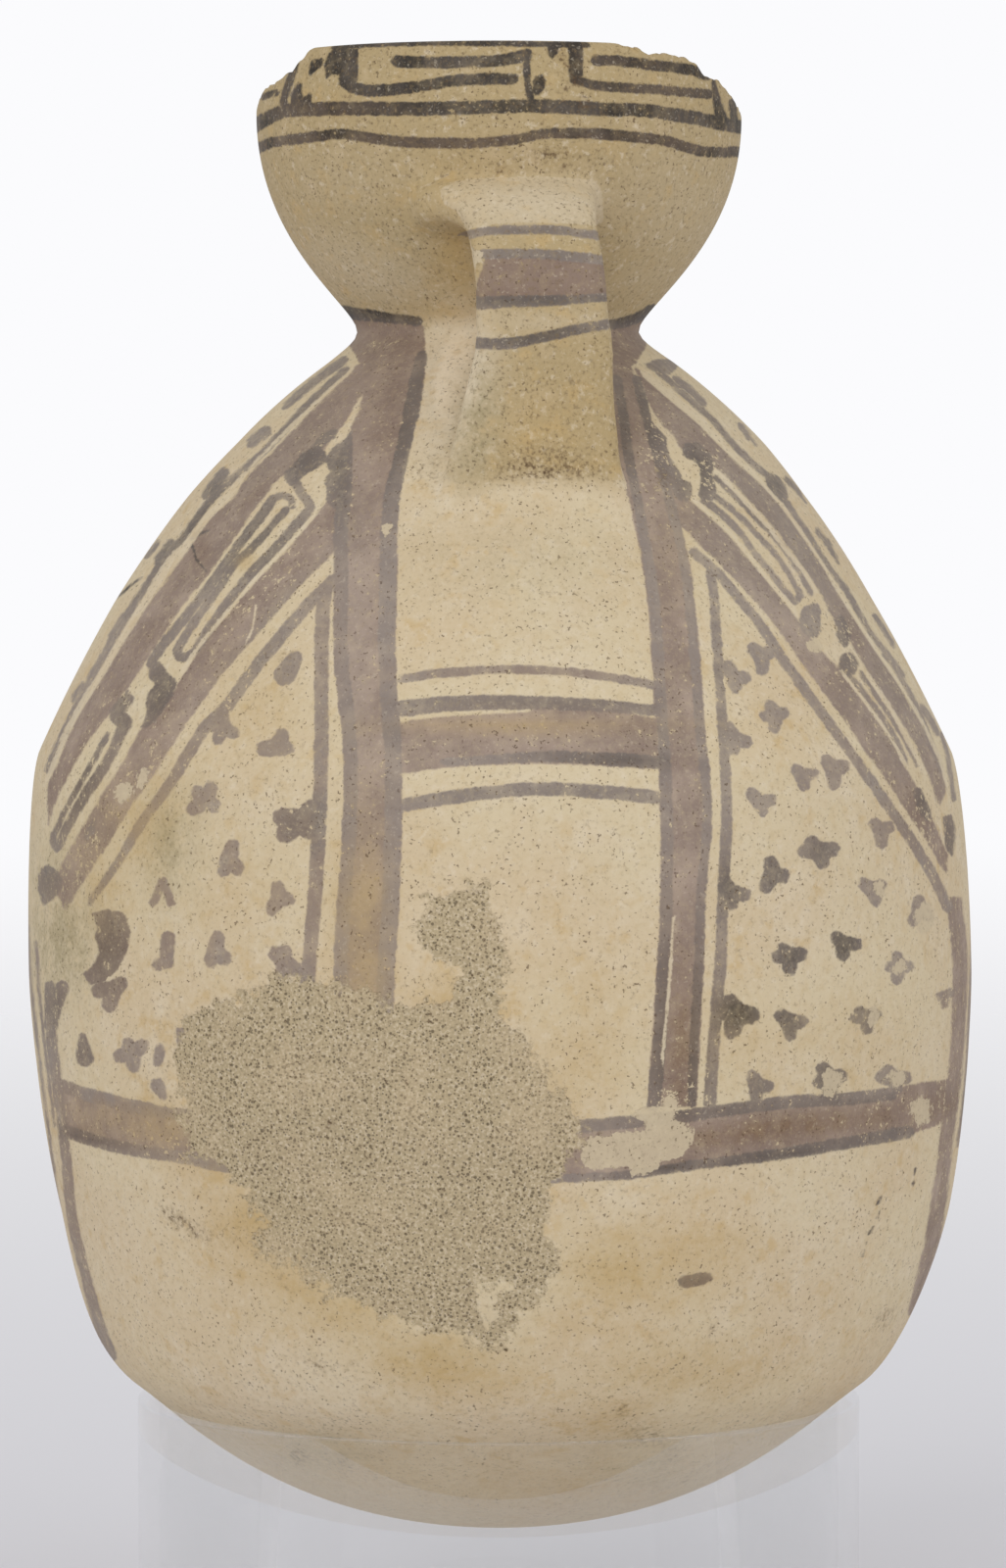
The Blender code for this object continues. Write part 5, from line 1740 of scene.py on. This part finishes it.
class MakeJar(bpy.types.Operator):
    """Make the fired jar with its cup mouth and strap handle, painted and worn"""

    bl_idname = "painted_jar.make_jar"
    bl_label = "Make the jar"

    def execute(self, context):
        sizes = context.scene.jar_sizes
        surface = ClaySurface(context.scene.jar_colours).finish()
        form = JarForm(sizes)
        points, faces = united(jar_shell(form), strap_surface(form), surface)
        radius, height = cylinder_places(points)[1:]
        points = soften_seam(points, faces, radius - form.radius(height))
        mesh = mesh_from("jar_visual", points, faces)
        places = cylinder_places(points)
        worn = paint_jar(mesh, places, faces, form)
        points = hand_made(points, places, worn, sizes.unevenness)
        mesh.vertices.foreach_set("co", points.astype(np.float32).ravel())
        mesh.set_sharp_from_angle(angle=math.radians(JAR_SHARP_ANGLE))
        mesh.update()
        jar = place("jar_visual", mesh, surface)
        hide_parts("jar")
        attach(jar, "root")
        return {"FINISHED"}


def ring_section(outer, bore, height, edge):
    """(radius, height) points round the ring's wall, with rounded edges."""
    quarter = np.linspace(0.0, math.pi / 2, RING_EDGE_STEPS)
    section = []
    for radius, level, start in (
        (outer, 0.0, -math.pi / 2),
        (outer, height, 0.0),
        (bore, height, math.pi / 2),
        (bore, 0.0, math.pi),
    ):
        across = radius - edge if radius == outer else radius + edge
        up = level - edge if level else edge
        section += [(across + edge * math.cos(start + t), up + edge * math.sin(start + t)) for t in quarter]
    return section


class MakeRing(bpy.types.Operator):
    """Make the clear ring that the jar's round bottom stands in"""

    bl_idname = "painted_jar.make_ring"
    bl_label = "Make the ring stand"

    def execute(self, context):
        finish = context.scene.ring_finish
        outer, height = float(RING_BOX[1][0]), float(RING_BOX[1][2])
        section = ring_section(outer, outer - RING_WALL, height, finish.edge)
        turns = math.tau * np.arange(RING_SEGMENTS) / RING_SEGMENTS
        stack = RingStack()
        for radius, level in section + section[:1]:
            stack.add(turns, around(turns, radius, level - LIFT))
        points, faces = stack.arrays()
        count = len(section) * RING_SEGMENTS
        mesh = mesh_from("ring_visual", points[:count], faces % count)
        mesh.set_sharp_from_angle(angle=math.radians(RING_SHARP_ANGLE))
        ring = place("ring_visual", mesh, ring_surface(finish))
        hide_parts("ring_stand")
        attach(ring, "root")
        return {"FINISHED"}


def soft_lamp(name, watts, spot, aim, size):
    """A round lamp at a spot, aimed and hidden from the camera."""
    data = bpy.data.lights.new(name, "AREA")
    data.shape = "DISK"
    data.size = size
    data.energy = watts
    lamp = bpy.data.objects.new(name, data)
    lamp.location = spot
    lamp.visible_camera = False
    lamp.rotation_euler = (Vector(aim) - Vector(spot)).to_track_quat("-Z", "Y").to_euler()
    bpy.context.scene.collection.objects.link(lamp)


def pale_floor(settings):
    """A round floor just under the ring."""
    turns = math.tau * np.arange(FLOOR_SEGMENTS) / FLOOR_SEGMENTS
    rim = np.stack((np.cos(turns), np.sin(turns), 0.0 * turns), axis=1) * settings.floor_radius
    points = np.concatenate((((0.0, 0.0, 0.0),), rim))
    index = np.arange(FLOOR_SEGMENTS)
    faces = np.stack((0 * index, index + 1, (index + 1) % FLOOR_SEGMENTS + 1), axis=1)
    floor = place("studio_floor", mesh_from("studio_floor", points, faces), floor_surface(settings))
    floor.location.z = -FLOOR_DROP


def light_air(scene, strength):
    """An even pale sky, brighter to the eye than the light it gives."""
    world = bpy.data.worlds.new("studio_air")
    scene.world = world
    world.use_nodes = True
    nodes, links = world.node_tree.nodes, world.node_tree.links
    give = nodes["Background"]
    give.inputs["Color"].default_value = (1.0, 1.0, 1.0, 1.0)
    give.inputs["Strength"].default_value = strength
    show = nodes.new("ShaderNodeBackground")
    show.inputs["Color"].default_value = (*srgb(*SKY_COLOUR), 1.0)
    path = nodes.new("ShaderNodeLightPath")
    mix = nodes.new("ShaderNodeMixShader")
    links.new(path.outputs["Is Camera Ray"], mix.inputs[0])
    links.new(give.outputs[0], mix.inputs[1])
    links.new(show.outputs[0], mix.inputs[2])
    links.new(mix.outputs[0], nodes["World Output"].inputs["Surface"])


def photo_camera(scene):
    """The camera of the photograph."""
    data = bpy.data.cameras.new("camera")
    data.sensor_width = SENSOR
    data.lens = CAMERA_LENS
    camera = bpy.data.objects.new("camera", data)
    camera.location = (CAMERA_SIDE, -CAMERA_DISTANCE, LIFT + CAMERA_ABOVE_JAR_FOOT)
    camera.rotation_euler = (math.radians(90.0 - CAMERA_PITCH), 0.0, 0.0)
    scene.collection.objects.link(camera)
    scene.camera = camera


class MakeStudio(bpy.types.Operator):
    """Set the pale floor, the soft light and the camera of the photograph"""

    bl_idname = "painted_jar.make_studio"
    bl_label = "Set the studio"

    def execute(self, context):
        scene = context.scene
        settings = scene.studio_settings
        pale_floor(settings)
        light_air(scene, settings.air_strength)
        soft_lamp("key_lamp", settings.key_power, *KEY_LAMP)
        soft_lamp("fill_lamp", settings.fill_power, *FILL_LAMP)
        soft_lamp("low_lamp", settings.low_power, *LOW_LAMP)
        photo_camera(scene)
        scene.view_settings.view_transform = "Standard"
        return {"FINISHED"}


class JarPanel(bpy.types.Panel):
    """The jar's pieces and their settings"""

    bl_idname = "PAINTED_JAR_PT_panel"
    bl_label = "Painted jar"
    bl_space_type = "VIEW_3D"
    bl_region_type = "UI"
    bl_category = "Painted jar"

    def draw(self, context):
        """Shows a button for each operator and a box for each group of settings."""
        for operator in OPERATORS:
            self.layout.operator(operator.bl_idname)
        for name in GROUPS:
            settings = getattr(context.scene, name)
            box = self.layout.box()
            for key in settings.bl_rna.properties.keys():
                if key not in ("rna_type", "name"):
                    box.prop(settings, key)


GROUPS = {
    "jar_sizes": JarSizes,
    "jar_colours": JarColours,
    "ring_finish": RingFinish,
    "studio_settings": StudioSettings,
}
OPERATORS = (MakeJar, MakeRing, MakeStudio)


def register():
    """Adds the settings, the operators and the panel."""
    for name, group in GROUPS.items():
        bpy.utils.register_class(group)
        setattr(bpy.types.Scene, name, bpy.props.PointerProperty(type=group))
    for operator in OPERATORS:
        bpy.utils.register_class(operator)
    bpy.utils.register_class(JarPanel)


def unregister():
    """Takes them away again."""
    bpy.utils.unregister_class(JarPanel)
    for operator in reversed(OPERATORS):
        bpy.utils.unregister_class(operator)
    for name, group in GROUPS.items():
        delattr(bpy.types.Scene, name)
        bpy.utils.unregister_class(group)


def main():
    """Makes both pieces and the studio."""
    register()
    bpy.ops.painted_jar.make_jar()
    bpy.ops.painted_jar.make_ring()
    bpy.ops.painted_jar.make_studio()


if __name__ == "__main__":
    main()
